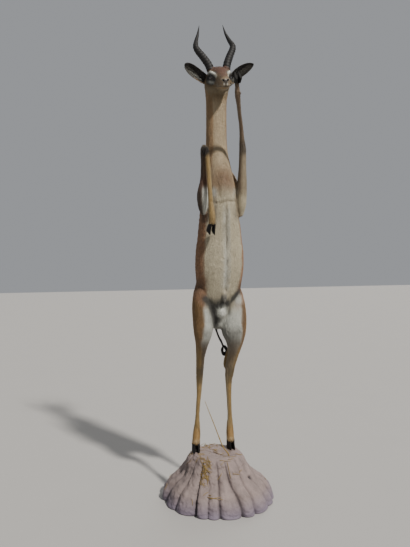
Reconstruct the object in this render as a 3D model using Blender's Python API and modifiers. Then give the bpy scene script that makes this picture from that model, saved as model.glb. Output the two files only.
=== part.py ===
"""A gerenuk ram, a long-necked antelope, mounted upright on its hind legs on a lobed mound.

Metres, +Z up. The origin is the middle of the mound's underside, -Y is the belly side and
+X is the animal's left. The fleshy body is a set of lofts through named stations, melted
into one skin and parted with thin cuts where the head, neck and legs begin.
"""

import math

import bmesh
import bpy
import numpy as np
from mathutils import Matrix, Vector

GAP = 0.0003
NECK_CUT_REACH = (0.076, 0.098)
LIMB_CUT_REACH = (0.19, 0.19)
SCRAP_POINTS = 40

# Mound
MOUND_HEIGHT = 0.25
MOUND_RADIUS = 0.302
MOUND_LOBES = 14
MOUND_LOBE_DEPTH = 0.085
MOUND_TOP_SHIFT = Vector((-0.022, -0.022, 0.0))
MOUND_SIDES = 70

# Leg lengths and feet
SOLE_Z = MOUND_HEIGHT + GAP
CORONET_Z = 0.2935
CLAW_HEIGHT = CORONET_Z - SOLE_Z
CLAW_LENGTH = 0.060
CLAW_HALF_WIDTH = 0.0105
CLAW_SPREAD = 0.0118
WALL_ANGLE = math.radians(54.0)

# Head
HEAD_CENTRE = Vector((0.009, 0.025, 2.235))
HEAD_YAW = math.radians(-5.0)
HEAD_PITCH = math.radians(20.0)
HEAD_ROLL = math.radians(4.5)
EYE_RADIUS = 0.0185
EYE_SIDE = 0.0430
EYE_FORE = 0.043
EYE_UP = 0.006
LID_TURN = math.radians(32.0)
LID_HALF_LENGTH = 0.0175
LID_HALF_HEIGHT = 0.0128
HORN_RADIUS = 0.0205
HORN_RINGS = 12
EAR_WIDTH = 0.058
EAR_THICKNESS = 0.0032

# Fineness of the melted skin and of the faces that are kept
BODY_VOXEL = 0.0042
HEAD_VOXEL = 0.0022
BODY_FACES = 5450
HEAD_FACES = 2500

COLOURS = {
    "flesh": ((0.42, 0.30, 0.19), 0.85),
    "horn": ((0.030, 0.028, 0.027), 0.55),
    "eye": ((0.010, 0.008, 0.007), 0.08),
    "hoof": ((0.018, 0.016, 0.015), 0.45),
    "tuft": ((0.020, 0.017, 0.015), 0.80),
    "mound": ((0.46, 0.37, 0.36), 0.90),
    "straw": ((0.45, 0.33, 0.13), 0.80),
}


# Scene and mesh helpers
def clear_scene():
    for obj in list(bpy.data.objects):
        bpy.data.objects.remove(obj, do_unlink=True)


def new_collection(name):
    collection = bpy.data.collections.new(name)
    bpy.context.scene.collection.children.link(collection)
    return collection


def material(name):
    colour, roughness = COLOURS[name]
    mat = bpy.data.materials.get(name)
    if mat is None:
        mat = bpy.data.materials.new(name)
        mat.use_nodes = True
        shader = mat.node_tree.nodes["Principled BSDF"]
        shader.inputs["Base Color"].default_value = (*colour, 1.0)
        shader.inputs["Roughness"].default_value = roughness
        shader.inputs["Metallic"].default_value = 0.0
    return mat


def add_object(name, mesh, collection, finish=None):
    obj = bpy.data.objects.new(name, mesh)
    collection.objects.link(obj)
    if finish:
        mesh.materials.clear()
        mesh.materials.append(material(finish))
    return obj


def mesh_from_bmesh(name, bm):
    bm.normal_update()
    bmesh.ops.recalc_face_normals(bm, faces=bm.faces)
    mesh = bpy.data.meshes.new(name)
    bm.to_mesh(mesh)
    bm.free()
    return mesh


def bake_modifiers(obj):
    """Replace an object's mesh by its evaluated one."""
    depsgraph = bpy.context.evaluated_depsgraph_get()
    baked = bpy.data.meshes.new_from_object(obj.evaluated_get(depsgraph))
    obj.modifiers.clear()
    obj.data = baked
    return obj


def catmull(values, count):
    """Smooth rows through the given rows, evenly spread in the row number."""
    rows = np.array(values, dtype=float)
    padded = np.vstack([2 * rows[0] - rows[1], rows, 2 * rows[-1] - rows[-2]])
    out = []
    for step in np.linspace(0.0, len(rows) - 1.0, count):
        i = min(int(step), len(rows) - 2)
        t = step - i
        a, b, c, d = padded[i:i + 4]
        out.append(0.5 * (2 * b + (c - a) * t + (2 * a - 5 * b + 4 * c - d) * t * t
                          + (3 * b - a - 3 * c + d) * t ** 3))
    return np.array(out)


def bridge_rings(bm, rings, closed_ends=True):
    """Skin a list of vertex rings with quads and close both ends."""
    sides = len(rings[0])
    for low, high in zip(rings, rings[1:]):
        for i in range(sides):
            j = (i + 1) % sides
            bm.faces.new((low[i], low[j], high[j], high[i]))
    if closed_ends:
        bm.faces.new(list(reversed(rings[0])))
        bm.faces.new(rings[-1])


def oval(centre, across, depth, half_width, half_depth, sides, power=2.0):
    """Points of a superellipse in the plane of two unit vectors."""
    points = []
    for i in range(sides):
        angle = 2.0 * math.pi * i / sides
        c, s = math.cos(angle), math.sin(angle)
        u = math.copysign(abs(c) ** (2.0 / power), c)
        v = math.copysign(abs(s) ** (2.0 / power), s)
        points.append(centre + across * (u * half_width) + depth * (v * half_depth))
    return points


def loft(name, stations, across=(1.0, 0.0, 0.0), rings=24, sides=20, power=2.0, domes=(1.0, 1.0)):
    """A closed tube through stations of x, y, z, half width and half depth, with domed ends."""
    rows = catmull(stations, rings)
    centres = [Vector(row[:3]) for row in rows]
    side = Vector(across).normalized()
    bm = bmesh.new()
    loops = []

    def add_ring(centre, tangent, half_width, half_depth):
        depth = tangent.cross(side).normalized()
        width = depth.cross(tangent).normalized()
        points = oval(centre, width, depth, half_width, half_depth, sides, power)
        loops.append([bm.verts.new(p) for p in points])

    def add_dome(index, tangent, height, angles):
        half_width, half_depth = rows[index][3], rows[index][4]
        reach = min(half_width, half_depth) * height
        for angle in angles:
            scale = math.cos(angle)
            centre = centres[index] + tangent * (reach * math.sin(angle))
            add_ring(centre, tangent_at(index), half_width * scale, half_depth * scale)

    def tangent_at(index):
        before = centres[max(index - 1, 0)]
        after = centres[min(index + 1, len(centres) - 1)]
        return (after - before).normalized()

    steps = [math.radians(a) for a in (25.0, 50.0, 72.0)]
    if domes[0] > 0.0:
        add_dome(0, -tangent_at(0), domes[0], reversed(steps))
    for index, row in enumerate(rows):
        add_ring(centres[index], tangent_at(index), row[3], row[4])
    if domes[1] > 0.0:
        add_dome(len(rows) - 1, tangent_at(len(rows) - 1), domes[1], steps)
    bridge_rings(bm, loops)
    return mesh_from_bmesh(name, bm)


def ellipsoid(name, centre, radii, turn=None, segments=20, rings=12):
    """A stretched ball; turn is a rotation matrix."""
    bm = bmesh.new()
    bmesh.ops.create_uvsphere(bm, u_segments=segments, v_segments=rings, radius=1.0)
    shape = Matrix.Diagonal((*radii, 1.0))
    rotation = turn.to_4x4() if turn else Matrix.Identity(4)
    bm.transform(Matrix.Translation(Vector(centre)) @ rotation @ shape)
    return mesh_from_bmesh(name, bm)


def melt(name, meshes, voxel, passes, faces, collection):
    """Join closed shapes into one smooth skin with about the given number of faces."""
    bm = bmesh.new()
    for mesh in meshes:
        bm.from_mesh(mesh)
    joined = bpy.data.meshes.new(name)
    bm.to_mesh(joined)
    bm.free()
    obj = add_object(name, joined, collection)
    remesh = obj.modifiers.new("melt", "REMESH")
    remesh.mode = "VOXEL"
    remesh.voxel_size = voxel
    remesh.adaptivity = 0.0
    smooth = obj.modifiers.new("smooth", "SMOOTH")
    smooth.factor = 0.5
    smooth.iterations = passes
    bake_modifiers(obj)
    thin = obj.modifiers.new("thin", "DECIMATE")
    thin.ratio = faces / (2.0 * len(obj.data.polygons))
    thin.use_collapse_triangulate = True
    return bake_modifiers(obj)


def cutter_object(name, mesh, collection):
    obj = add_object(name, mesh, collection)
    obj.hide_render = True
    obj.display_type = "WIRE"
    return obj


def subtract(obj, cutter, solver="EXACT"):
    """Cut one closed shape out of another and drop the cutter."""
    boolean = obj.modifiers.new("cut", "BOOLEAN")
    boolean.operation = "DIFFERENCE"
    boolean.solver = solver
    boolean.object = cutter
    bake_modifiers(obj)
    bpy.data.objects.remove(cutter, do_unlink=True)


def slab(centre, normal, reach, thickness=GAP):
    """A thin plate across a limb, used to part it; reach is half its width and half its depth."""
    bm = bmesh.new()
    bmesh.ops.create_cube(bm, size=1.0)
    turn = Vector((0.0, 0.0, 1.0)).rotation_difference(Vector(normal)).to_matrix().to_4x4()
    size = Matrix.Diagonal((2.0 * reach[0], 2.0 * reach[1], thickness, 1.0))
    bm.transform(Matrix.Translation(Vector(centre)) @ turn @ size)
    return mesh_from_bmesh("slab", bm)


def islands(mesh):
    """The loose closed surfaces of a mesh, as new meshes, largest first."""
    bm = bmesh.new()
    bm.from_mesh(mesh)
    bm.verts.ensure_lookup_table()
    seen = set()
    groups = []
    for start in bm.verts:
        if start.index in seen:
            continue
        stack, group = [start], set()
        seen.add(start.index)
        while stack:
            vert = stack.pop()
            group.add(vert.index)
            for edge in vert.link_edges:
                other = edge.other_vert(vert)
                if other.index not in seen:
                    seen.add(other.index)
                    stack.append(other)
        groups.append(group)
    bm.free()
    parts = []
    for group in sorted(groups, key=len, reverse=True):
        part = bmesh.new()
        part.from_mesh(mesh)
        loose = [v for v in part.verts if v.index not in group]
        bmesh.ops.delete(part, geom=loose, context="VERTS")
        parts.append(mesh_from_bmesh(mesh.name, part))
    return parts


def keep_largest(obj):
    obj.data = islands(obj.data)[0]
    return obj


def distance_to(mesh, point):
    return min((v.co - point).length for v in mesh.vertices)


def grown_copy(obj, amount, collection):
    """A copy of a closed shape pushed out along its normals, to cut its neighbour clear of it."""
    copy = cutter_object(obj.name + "_grown", obj.data.copy(), collection)
    push = copy.modifiers.new("grow", "DISPLACE")
    push.strength = amount
    push.mid_level = 0.0
    return bake_modifiers(copy)


def clear_of(obj, neighbour, collection, amount=1.15 * GAP):
    subtract(obj, grown_copy(neighbour, amount, collection))
    return keep_largest(obj)


# Trunk and neck: x, y, z, half width, half depth from the rump up to the back of the skull
TRUNK = (
    (0.000, 0.020, 0.930, 0.046, 0.052),
    (0.000, 0.014, 1.000, 0.088, 0.080),
    (0.000, 0.008, 1.070, 0.112, 0.096),
    (0.000, -0.003, 1.140, 0.120, 0.106),
    (0.000, -0.014, 1.220, 0.1275, 0.117),
    (0.000, -0.016, 1.300, 0.1245, 0.121),
    (0.000, -0.014, 1.370, 0.1145, 0.123),
    (0.000, -0.012, 1.435, 0.1070, 0.127),
    (-0.003, -0.009, 1.500, 0.0960, 0.132),
    (-0.003, -0.004, 1.580, 0.0860, 0.134),
    (-0.004, 0.003, 1.660, 0.0790, 0.128),
    (-0.005, 0.011, 1.730, 0.0690, 0.108),
    (-0.006, 0.017, 1.800, 0.0590, 0.084),
    (-0.007, 0.020, 1.870, 0.0545, 0.068),
    (-0.007, 0.020, 1.950, 0.0535, 0.060),
    (-0.007, 0.021, 2.030, 0.0535, 0.057),
    (-0.006, 0.023, 2.100, 0.0550, 0.057),
    (-0.003, 0.028, 2.150, 0.0610, 0.060),
    (0.001, 0.034, 2.190, 0.0680, 0.060),
    (0.005, 0.036, 2.230, 0.0620, 0.050),
)

HIND_RIGHT = (
    (-0.066, 0.030, 1.140, 0.040, 0.060),
    (-0.080, 0.018, 1.080, 0.050, 0.082),
    (-0.087, 0.012, 1.010, 0.052, 0.088),
    (-0.083, 0.000, 0.942, 0.056, 0.080),
    (-0.089, -0.010, 0.871, 0.0475, 0.064),
    (-0.0914, 0.006, 0.809, 0.0320, 0.049),
    (-0.0925, 0.029, 0.741, 0.0228, 0.037),
    (-0.0895, 0.050, 0.684, 0.0205, 0.036),
    (-0.0925, 0.050, 0.609, 0.0180, 0.0245),
    (-0.0970, 0.041, 0.547, 0.0138, 0.0180),
    (-0.1045, 0.032, 0.486, 0.0117, 0.0160),
    (-0.1100, 0.024, 0.430, 0.0116, 0.0155),
    (-0.1130, 0.017, 0.384, 0.0155, 0.0190),
    (-0.1185, 0.007, 0.340, 0.0200, 0.0225),
    (-0.1250, -0.006, 0.300, 0.0215, 0.0215),
    (-0.1280, -0.012, 0.275, 0.0215, 0.0215),
)

HIND_LEFT = (
    (0.062, 0.030, 1.130, 0.038, 0.060),
    (0.073, 0.020, 1.070, 0.050, 0.082),
    (0.078, 0.012, 1.004, 0.060, 0.088),
    (0.080, 0.000, 0.932, 0.066, 0.082),
    (0.082, -0.012, 0.866, 0.0600, 0.066),
    (0.0872, -0.003, 0.8175, 0.0430, 0.052),
    (0.0875, 0.018, 0.7546, 0.0250, 0.040),
    (0.0800, 0.040, 0.6925, 0.0225, 0.034),
    (0.0740, 0.048, 0.6323, 0.0205, 0.0275),
    (0.0700, 0.045, 0.6000, 0.0165, 0.0230),
    (0.0683, 0.038, 0.5376, 0.0132, 0.0180),
    (0.0680, 0.030, 0.4752, 0.0120, 0.0160),
    (0.0690, 0.023, 0.4171, 0.0122, 0.0155),
    (0.0679, 0.016, 0.3718, 0.0165, 0.0195),
    (0.0655, 0.006, 0.3300, 0.0195, 0.0225),
    (0.0645, -0.006, 0.3000, 0.0205, 0.0215),
    (0.0640, -0.012, 0.2750, 0.0205, 0.0215),
)
HIND_LEFT_YAW = math.radians(16.0)
HIND_RIGHT_YAW = math.radians(-6.0)
HOCK_POINTS = {
    "left": ((0.060, 0.083, 0.692), (0.074, 0.052, 0.655), (0.083, 0.045, 0.80)),
    "right": ((-0.089, 0.088, 0.690), (-0.089, 0.056, 0.648), (-0.092, 0.052, 0.80)),
}

# Shoulder and upper arm of the animal's left side; the right side mirrors them
SHOULDER_BLADE = (
    (0.040, 0.082, 1.745, 0.020, 0.034),
    (0.060, 0.050, 1.705, 0.023, 0.050),
    (0.070, 0.004, 1.665, 0.026, 0.052),
    (0.071, -0.038, 1.635, 0.028, 0.042),
)
UPPER_ARM = (
    (0.071, -0.042, 1.650, 0.025, 0.038),
    (0.079, -0.046, 1.605, 0.028, 0.045),
    (0.088, -0.053, 1.555, 0.026, 0.041),
    (0.096, -0.062, 1.512, 0.018, 0.028),
)

# The right foreleg: forearm up to the folded knee, then the shank hanging in front of it
RIGHT_FOREARM = (
    (-0.1010, -0.070, 1.505, 0.0180, 0.024),
    (-0.1070, -0.078, 1.545, 0.0270, 0.034),
    (-0.1095, -0.082, 1.597, 0.0285, 0.036),
    (-0.1080, -0.082, 1.630, 0.0225, 0.031),
    (-0.1040, -0.080, 1.670, 0.0172, 0.024),
    (-0.1032, -0.078, 1.715, 0.0150, 0.0195),
    (-0.1036, -0.076, 1.762, 0.0138, 0.0175),
    (-0.1030, -0.077, 1.800, 0.0168, 0.0200),
    (-0.1030, -0.080, 1.828, 0.0170, 0.0210),
)
RIGHT_SHANK = (
    (-0.1030, -0.082, 1.838, 0.0150, 0.0150),
    (-0.1000, -0.106, 1.826, 0.0155, 0.0160),
    (-0.0955, -0.118, 1.790, 0.0125, 0.0165),
    (-0.0915, -0.127, 1.735, 0.0118, 0.0145),
    (-0.0898, -0.136, 1.674, 0.0118, 0.0140),
    (-0.0890, -0.146, 1.620, 0.0120, 0.0140),
    (-0.0872, -0.156, 1.561, 0.0124, 0.0145),
    (-0.0840, -0.164, 1.510, 0.0155, 0.0180),
    (-0.0825, -0.169, 1.478, 0.0170, 0.0200),
    (-0.0835, -0.172, 1.448, 0.0175, 0.0185),
    (-0.0842, -0.173, 1.425, 0.0175, 0.0180),
)

# The left foreleg: raised beside the face
LEFT_FOREARM = (
    (0.0960, -0.072, 1.500, 0.0185, 0.024),
    (0.0975, -0.080, 1.545, 0.0270, 0.034),
    (0.0980, -0.088, 1.600, 0.0270, 0.036),
    (0.0980, -0.095, 1.640, 0.0262, 0.032),
    (0.0984, -0.101, 1.680, 0.0235, 0.027),
    (0.0975, -0.108, 1.735, 0.0200, 0.0225),
    (0.0962, -0.115, 1.790, 0.0190, 0.0215),
    (0.0940, -0.121, 1.826, 0.0178, 0.0210),
    (0.0880, -0.131, 1.860, 0.0145, 0.0175),
    (0.0800, -0.148, 1.900, 0.0116, 0.0150),
    (0.0690, -0.170, 1.946, 0.0104, 0.0140),
    (0.0540, -0.194, 1.990, 0.0102, 0.0140),
    (0.0400, -0.221, 2.033, 0.0110, 0.0145),
    (0.0280, -0.244, 2.068, 0.0142, 0.0175),
    (0.0210, -0.258, 2.094, 0.0132, 0.0175),
    (0.0165, -0.268, 2.119, 0.0106, 0.0140),
    (0.0135, -0.275, 2.138, 0.0110, 0.0145),
)

# Where the limbs are parted: a point and the direction across the cut
NECK_CUT = ((-0.006, 0.018, 1.815), (0.0, -0.30, 0.95))
HEAD_CUT = ((0.0, 0.030, 2.158), (0.0, -0.42, 0.91))
ELBOW_CUT = ((0.087, -0.074, 1.600), (0.80, -0.60, 0.14))
HIP_CUT_LOW = 0.872
HIP_CUT_HIGH = 1.095


def mirrored(stations):
    return [(-x, y, z, w, d) for x, y, z, w, d in stations]


def leg_across(yaw):
    return (math.cos(yaw), math.sin(yaw), 0.0)


def dewclaws(name, centre, side, toe, along):
    """The pair of small horny knobs behind a fetlock."""
    meshes = []
    for sign in (-1.0, 1.0):
        root = centre + side * (sign * 0.009)
        tip = root + along * 0.014 - toe * 0.006
        stations = [(*root, 0.0072, 0.0072), (*tip, 0.0042, 0.0042)]
        meshes.append(loft(name, stations, across=side, rings=4, sides=8))
    return meshes


def body_shapes():
    """All the closed shapes that melt into the body below the head."""
    shapes = [loft("trunk", TRUNK, rings=60, sides=28, power=2.15)]
    shapes.append(loft("thigh_right", HIND_RIGHT, leg_across(HIND_RIGHT_YAW), 60, 20, 2.1, (1, 0)))
    shapes.append(loft("thigh_left", HIND_LEFT, leg_across(HIND_LEFT_YAW), 60, 20, 2.1, (1, 0)))
    for side, mirror in (("left", 1.0), ("right", -1.0)):
        point, joint, tendon = HOCK_POINTS[side]
        heel = [(*joint, 0.015, 0.020), (*point, 0.0095, 0.012), (*tendon, 0.008, 0.010)]
        shapes.append(loft("hock_" + side, heel, rings=12, sides=12))
        kneecap = (mirror * 0.090, -0.056, 0.905)
        shapes.append(ellipsoid("kneecap_" + side, kneecap, (0.030, 0.026, 0.050)))
        haunch = (mirror * 0.062, 0.052, 1.075)
        shapes.append(ellipsoid("haunch_" + side, haunch, (0.055, 0.058, 0.105)))
        ham = (mirror * 0.058, 0.060, 0.975)
        shapes.append(ellipsoid("ham_" + side, ham, (0.042, 0.042, 0.085)))
    for name, stations in (("shoulder_blade", SHOULDER_BLADE), ("upper_arm", UPPER_ARM)):
        shapes.append(loft(name + "_left", stations, rings=14, sides=16))
        shapes.append(loft(name + "_right", mirrored(stations), rings=14, sides=16))
    shapes.append(loft("forearm_right", RIGHT_FOREARM, rings=34, sides=16, domes=(1, 1)))
    shapes.append(loft("shank_right", RIGHT_SHANK, rings=40, sides=16, domes=(1, 0)))
    shapes.append(loft("foreleg_left", LEFT_FOREARM, rings=56, sides=16, domes=(1, 0)))
    shapes.append(ellipsoid("scrotum", (0.004, -0.050, 0.985), (0.021, 0.024, 0.029)))
    shapes.append(ellipsoid("sheath", (0.004, -0.096, 1.072), (0.013, 0.014, 0.030)))
    breast = [(-0.003, -0.092, 1.72, 0.030, 0.020), (-0.003, -0.118, 1.64, 0.034, 0.026),
              (-0.003, -0.118, 1.54, 0.030, 0.024)]
    shapes.append(loft("breast", breast, rings=12, sides=14))
    rump_tail = [(0.0, 0.070, 1.020, 0.020, 0.018), (0.003, 0.104, 0.985, 0.014, 0.013)]
    shapes.append(loft("tail_root", rump_tail, rings=5, sides=12))
    for foot in feet():
        shapes.extend(dewclaws("dewclaw", foot["fetlock"], foot["side"], foot["toe"], foot["along"]))
    return shapes


# Feet: where each pair of claws sits and which way it points
def hanging_foot(along, dorsal):
    """The toe and up directions of a hoof whose front wall carries on the line of the pastern."""
    along = Vector(along).normalized()
    dorsal = Vector(dorsal)
    dorsal = (dorsal - along * dorsal.dot(along)).normalized()
    toe = along * math.cos(WALL_ANGLE) + dorsal * math.sin(WALL_ANGLE)
    up = dorsal * math.cos(WALL_ANGLE) - along * math.sin(WALL_ANGLE)
    return along, toe, up


def standing_foot(name, coronet, fetlock, yaw):
    """A hoof flat on the mound."""
    toe = Vector((math.sin(yaw), -math.cos(yaw), 0.0))
    up = Vector((0.0, 0.0, 1.0))
    return {"name": name, "coronet": Vector(coronet), "fetlock": Vector(fetlock), "toe": toe,
            "up": up, "side": up.cross(toe), "along": -up, "cut": up, "slimness": 1.0}


def raised_foot(name, coronet, fetlock, along, dorsal, slimness):
    """A hoof clear of the ground; slimness narrows its closed claws."""
    along, toe, up = hanging_foot(along, dorsal)
    return {"name": name, "coronet": Vector(coronet), "fetlock": Vector(fetlock), "toe": toe,
            "up": up, "side": up.cross(toe), "along": along, "cut": -along, "slimness": slimness}


def feet():
    return (
        standing_foot("hind_right", (-0.1262, -0.010, CORONET_Z), (-0.1175, 0.022, 0.352),
                      math.radians(-8.0)),
        standing_foot("hind_left", (0.0645, -0.010, CORONET_Z), (0.0650, 0.021, 0.345),
                      math.radians(4.0)),
        raised_foot("fore_right", (-0.0840, -0.1725, 1.440), (-0.0826, -0.152, 1.490),
                    (-0.02, -0.04, -1.0), (0.0, -1.0, 0.0), 0.86),
        raised_foot("fore_left", (0.0145, -0.272, 2.130), (0.0235, -0.266, 2.080),
                    (-0.14, -0.32, 0.92), (0.0, 1.0, 0.3), 0.66),
    )


def claw_ring(foot, sign, height):
    """The outline of one claw at a height above its sole: pointed at the toe, blunt at the heel."""
    share = height / CLAW_HEIGHT
    front = CLAW_LENGTH * (0.66 - 0.34 * share)
    back = CLAW_LENGTH * (0.34 - 0.02 * share)
    half_width = CLAW_HALF_WIDTH * foot["slimness"] * (1.0 - 0.08 * share)
    offset = sign * CLAW_SPREAD * foot["slimness"]
    points = []
    steps = 14
    for i in range(steps):
        angle = 2.0 * math.pi * i / steps
        c, s = math.cos(angle), math.sin(angle)
        along = c * (front if c > 0.0 else back)
        narrow = 1.0 - 0.62 * max(c, 0.0) ** 1.6
        across = s * half_width * narrow - sign * 0.002 * max(c, 0.0)
        points.append(Vector((across + offset, along, height)))
    return points


def claw(foot, sign, collection):
    """One claw of a cloven hoof, from its flat sole to the coronet."""
    frame = Matrix((foot["side"], foot["toe"], foot["up"])).transposed().to_4x4()
    slope = foot["cut"].dot(foot["up"])
    tilted = slope < 0.999
    origin = foot["coronet"] - foot["up"] * CLAW_HEIGHT
    bm = bmesh.new()
    loops = []
    top = CLAW_HEIGHT * (1.35 if tilted else 1.0) - GAP
    for height in (0.0, 0.0035, 0.35 * CLAW_HEIGHT, 0.7 * CLAW_HEIGHT, top):
        ring = claw_ring(foot, sign, height)
        if height == 0.0:
            offset = sign * CLAW_SPREAD * foot["slimness"]
            ring = [Vector((p.x * 0.93 + offset * 0.07, p.y * 0.95, 0.0)) for p in ring]
        loops.append([bm.verts.new(p) for p in ring])
    bridge_rings(bm, loops)
    bm.transform(Matrix.Translation(origin) @ frame)
    mesh = mesh_from_bmesh("claw", bm)
    label = "inner" if (sign > 0.0) == foot["name"].endswith("right") else "outer"
    obj = add_object("claw_" + foot["name"] + "_" + label, mesh, collection, "hoof")
    if tilted:
        cap = slab(foot["coronet"] + foot["cut"] * (0.03 - GAP), foot["cut"], (0.05, 0.05), 0.06)
        subtract(obj, cutter_object("cap", cap, collection))
        keep_largest(obj)
    return obj


# Head: all its shapes are placed by how far they lie to the side, forward and up of its centre
def head_axes(pitch=HEAD_PITCH, roll=HEAD_ROLL):
    """The directions to the head's left, forward along it and up, after its turn, nod and tilt."""
    side = Vector((math.cos(HEAD_YAW), math.sin(HEAD_YAW), 0.0))
    level = Vector((math.sin(HEAD_YAW), -math.cos(HEAD_YAW), 0.0))
    fore = level * math.cos(pitch) - Vector((0.0, 0.0, math.sin(pitch)))
    up = fore.cross(side).normalized()
    tilted_side = side * math.cos(roll) + up * math.sin(roll)
    tilted_up = up * math.cos(roll) - side * math.sin(roll)
    return tilted_side, fore, tilted_up


def head_turn():
    side, fore, up = head_axes()
    return Matrix((side, fore, up)).transposed()


def head_point(side, fore, up):
    return HEAD_CENTRE + head_turn() @ Vector((side, fore, up))


# Forward of the centre, height of the middle, half width, half height
SKULL = (
    (-0.034, -0.016, 0.040, 0.038),
    (-0.026, -0.012, 0.049, 0.048),
    (-0.014, -0.009, 0.0545, 0.058),
    (0.012, -0.009, 0.0550, 0.064),
    (0.040, -0.010, 0.0520, 0.0625),
    (0.066, -0.011, 0.0450, 0.057),
    (0.092, -0.012, 0.0375, 0.050),
    (0.118, -0.012, 0.0320, 0.043),
    (0.142, -0.012, 0.0285, 0.037),
    (0.162, -0.013, 0.0262, 0.032),
    (0.176, -0.013, 0.0230, 0.0265),
)


def head_loft(name, rows, domes):
    stations = [(*head_point(0.0, fore, up), width, height) for fore, up, width, height in rows]
    return loft(name, stations, head_axes()[0], 30, 24, 2.2, domes)


def head_ball(name, place, radii):
    return ellipsoid(name, head_point(*place), radii, head_turn())


def head_tube(name, places, radius_rows, rings=12, sides=10):
    stations = [(*head_point(*p), w, d) for p, (w, d) in zip(places, radius_rows)]
    return loft(name, stations, (0.0, 0.0, 1.0), rings, sides)


def head_shapes():
    shapes = [head_loft("skull", SKULL, domes=(0.5, 0.8))]
    shapes.append(head_ball("crown", (0.0, -0.010, 0.030), (0.052, 0.045, 0.024)))
    shapes.append(head_ball("nose_pad", (0.0, 0.178, -0.004), (0.0185, 0.013, 0.014)))
    shapes.append(head_ball("chin", (0.0, 0.160, -0.036), (0.0165, 0.022, 0.011)))
    for sign in (-1.0, 1.0):
        shapes.append(head_ball("orbit", (sign * EYE_SIDE, EYE_FORE, EYE_UP),
                                (EYE_RADIUS + 0.0040, EYE_RADIUS + 0.0075, EYE_RADIUS + 0.0050)))
        brow = [(sign * 0.044, 0.010, 0.029), (sign * 0.048, 0.040, 0.027),
                (sign * 0.037, 0.070, 0.021), (sign * 0.025, 0.098, 0.014)]
        shapes.append(head_tube("brow", brow, [(0.010, 0.010), (0.009, 0.009), (0.008, 0.008),
                                               (0.006, 0.006)]))
        shapes.append(head_ball("cheek", (sign * 0.030, 0.020, -0.034), (0.024, 0.062, 0.034)))
        shapes.append(head_ball("nostril_wing", (sign * 0.0165, 0.172, 0.000),
                                (0.0105, 0.015, 0.0115)))
        lip = [(sign * 0.030, 0.112, -0.031), (sign * 0.0265, 0.142, -0.029),
               (sign * 0.0185, 0.168, -0.027), (sign * 0.006, 0.179, -0.025)]
        shapes.append(head_tube("lip", lip, [(0.005, 0.005), (0.0075, 0.0075), (0.0075, 0.0075),
                                             (0.007, 0.007)]))
        pedicel = [(sign * 0.034, -0.004, 0.014), (sign * 0.041, -0.008, 0.038)]
        shapes.append(head_tube("pedicel", pedicel, [(0.026, 0.026), (0.0215, 0.0215)], 5, 16))
        ear_foot = [(sign * 0.034, -0.010, -0.026), (sign * 0.058, -0.022, -0.032 - sign * 0.005)]
        shapes.append(head_tube("ear_foot", ear_foot, [(0.027, 0.027), (0.019, 0.019)], 5, 16))
    throat = [row for row in TRUNK if row[2] > 2.02]
    shapes.append(loft("neck_top", throat, rings=24, sides=28, power=2.15))
    return shapes


def lid_cutter(sign):
    """An almond opening between the lids, from the eye outwards."""
    bm = bmesh.new()
    rings = []
    steps = 12
    for depth in (0.006, 0.040):
        ring = []
        for i in range(steps):
            angle = 2.0 * math.pi * i / steps
            c, s = math.cos(angle), math.sin(angle)
            along = c * LID_HALF_LENGTH
            height = s * LID_HALF_HEIGHT * (1.0 - 0.25 * c * c)
            ring.append(bm.verts.new((sign * depth, along, height)))
        rings.append(ring)
    bridge_rings(bm, rings)
    outward = Matrix.Rotation(sign * LID_TURN, 4, "Z")
    place = Matrix.Translation(head_point(sign * EYE_SIDE, EYE_FORE, EYE_UP))
    bm.transform(place @ head_turn().to_4x4() @ outward)
    return mesh_from_bmesh("lid_opening", bm)


def mouth_cutter():
    """A thin curved strip that cuts the line of the mouth round the muzzle."""
    half = [(0.044, 0.098, -0.0345), (0.041, 0.118, -0.0325), (0.0375, 0.142, -0.0305),
            (0.0325, 0.166, -0.0292), (0.0225, 0.186, -0.0285), (0.008, 0.196, -0.0282)]
    path = half + [(-s, f, u) for s, f, u in reversed(half)]
    inward, thickness = 0.0170, 0.0008
    middle = Vector((0.0, 0.115, 0.0))
    bm = bmesh.new()
    rings = []
    for side, fore, up in path:
        outer = Vector((side, fore, up))
        flat = (middle - Vector((side, fore, 0.0))).normalized()
        inner = outer + flat * inward
        rise = Vector((0.0, 0.0, thickness))
        ring = (outer + rise, outer - rise, inner - rise, inner + rise)
        rings.append([bm.verts.new(HEAD_CENTRE + head_turn() @ p) for p in ring])
    bridge_rings(bm, rings)
    return mesh_from_bmesh("mouth_line", bm)


def build_head(collection):
    head = melt("head", head_shapes(), HEAD_VOXEL, 5, HEAD_FACES, collection)
    poll, upward = (Vector(v) for v in HEAD_CUT)
    upward.normalize()
    below = slab(poll - upward * (0.2 - GAP), upward, (0.3, 0.3), 0.4)
    subtract(head, cutter_object("below_head", below, collection))
    keep_largest(head)
    for sign in (-1.0, 1.0):
        eye = head_point(sign * EYE_SIDE, EYE_FORE, EYE_UP)
        socket = ellipsoid("socket", eye, [EYE_RADIUS + GAP] * 3, head_turn(), 20, 12)
        subtract(head, cutter_object("socket", socket, collection))
        subtract(head, cutter_object("lid_opening", lid_cutter(sign), collection))
        nostril = head_point(sign * 0.0125, 0.1885, 0.003)
        turn = head_turn() @ Matrix.Rotation(sign * math.radians(28.0), 3, "Y")
        hole = ellipsoid("nostril", nostril, (0.0058, 0.009, 0.0030), turn, 10, 6)
        subtract(head, cutter_object("nostril", hole, collection))
    subtract(head, cutter_object("mouth_line", mouth_cutter(), collection))
    keep_largest(head)
    head.data.materials.clear()
    head.data.materials.append(material("flesh"))
    return head


def build_eyes(collection):
    for sign, label in ((1.0, "left"), (-1.0, "right")):
        centre = head_point(sign * EYE_SIDE, EYE_FORE, EYE_UP)
        ball = ellipsoid("eye", centre, [EYE_RADIUS] * 3, head_turn(), 14, 10)
        add_object("eye_" + label, ball, collection, "eye")


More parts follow.
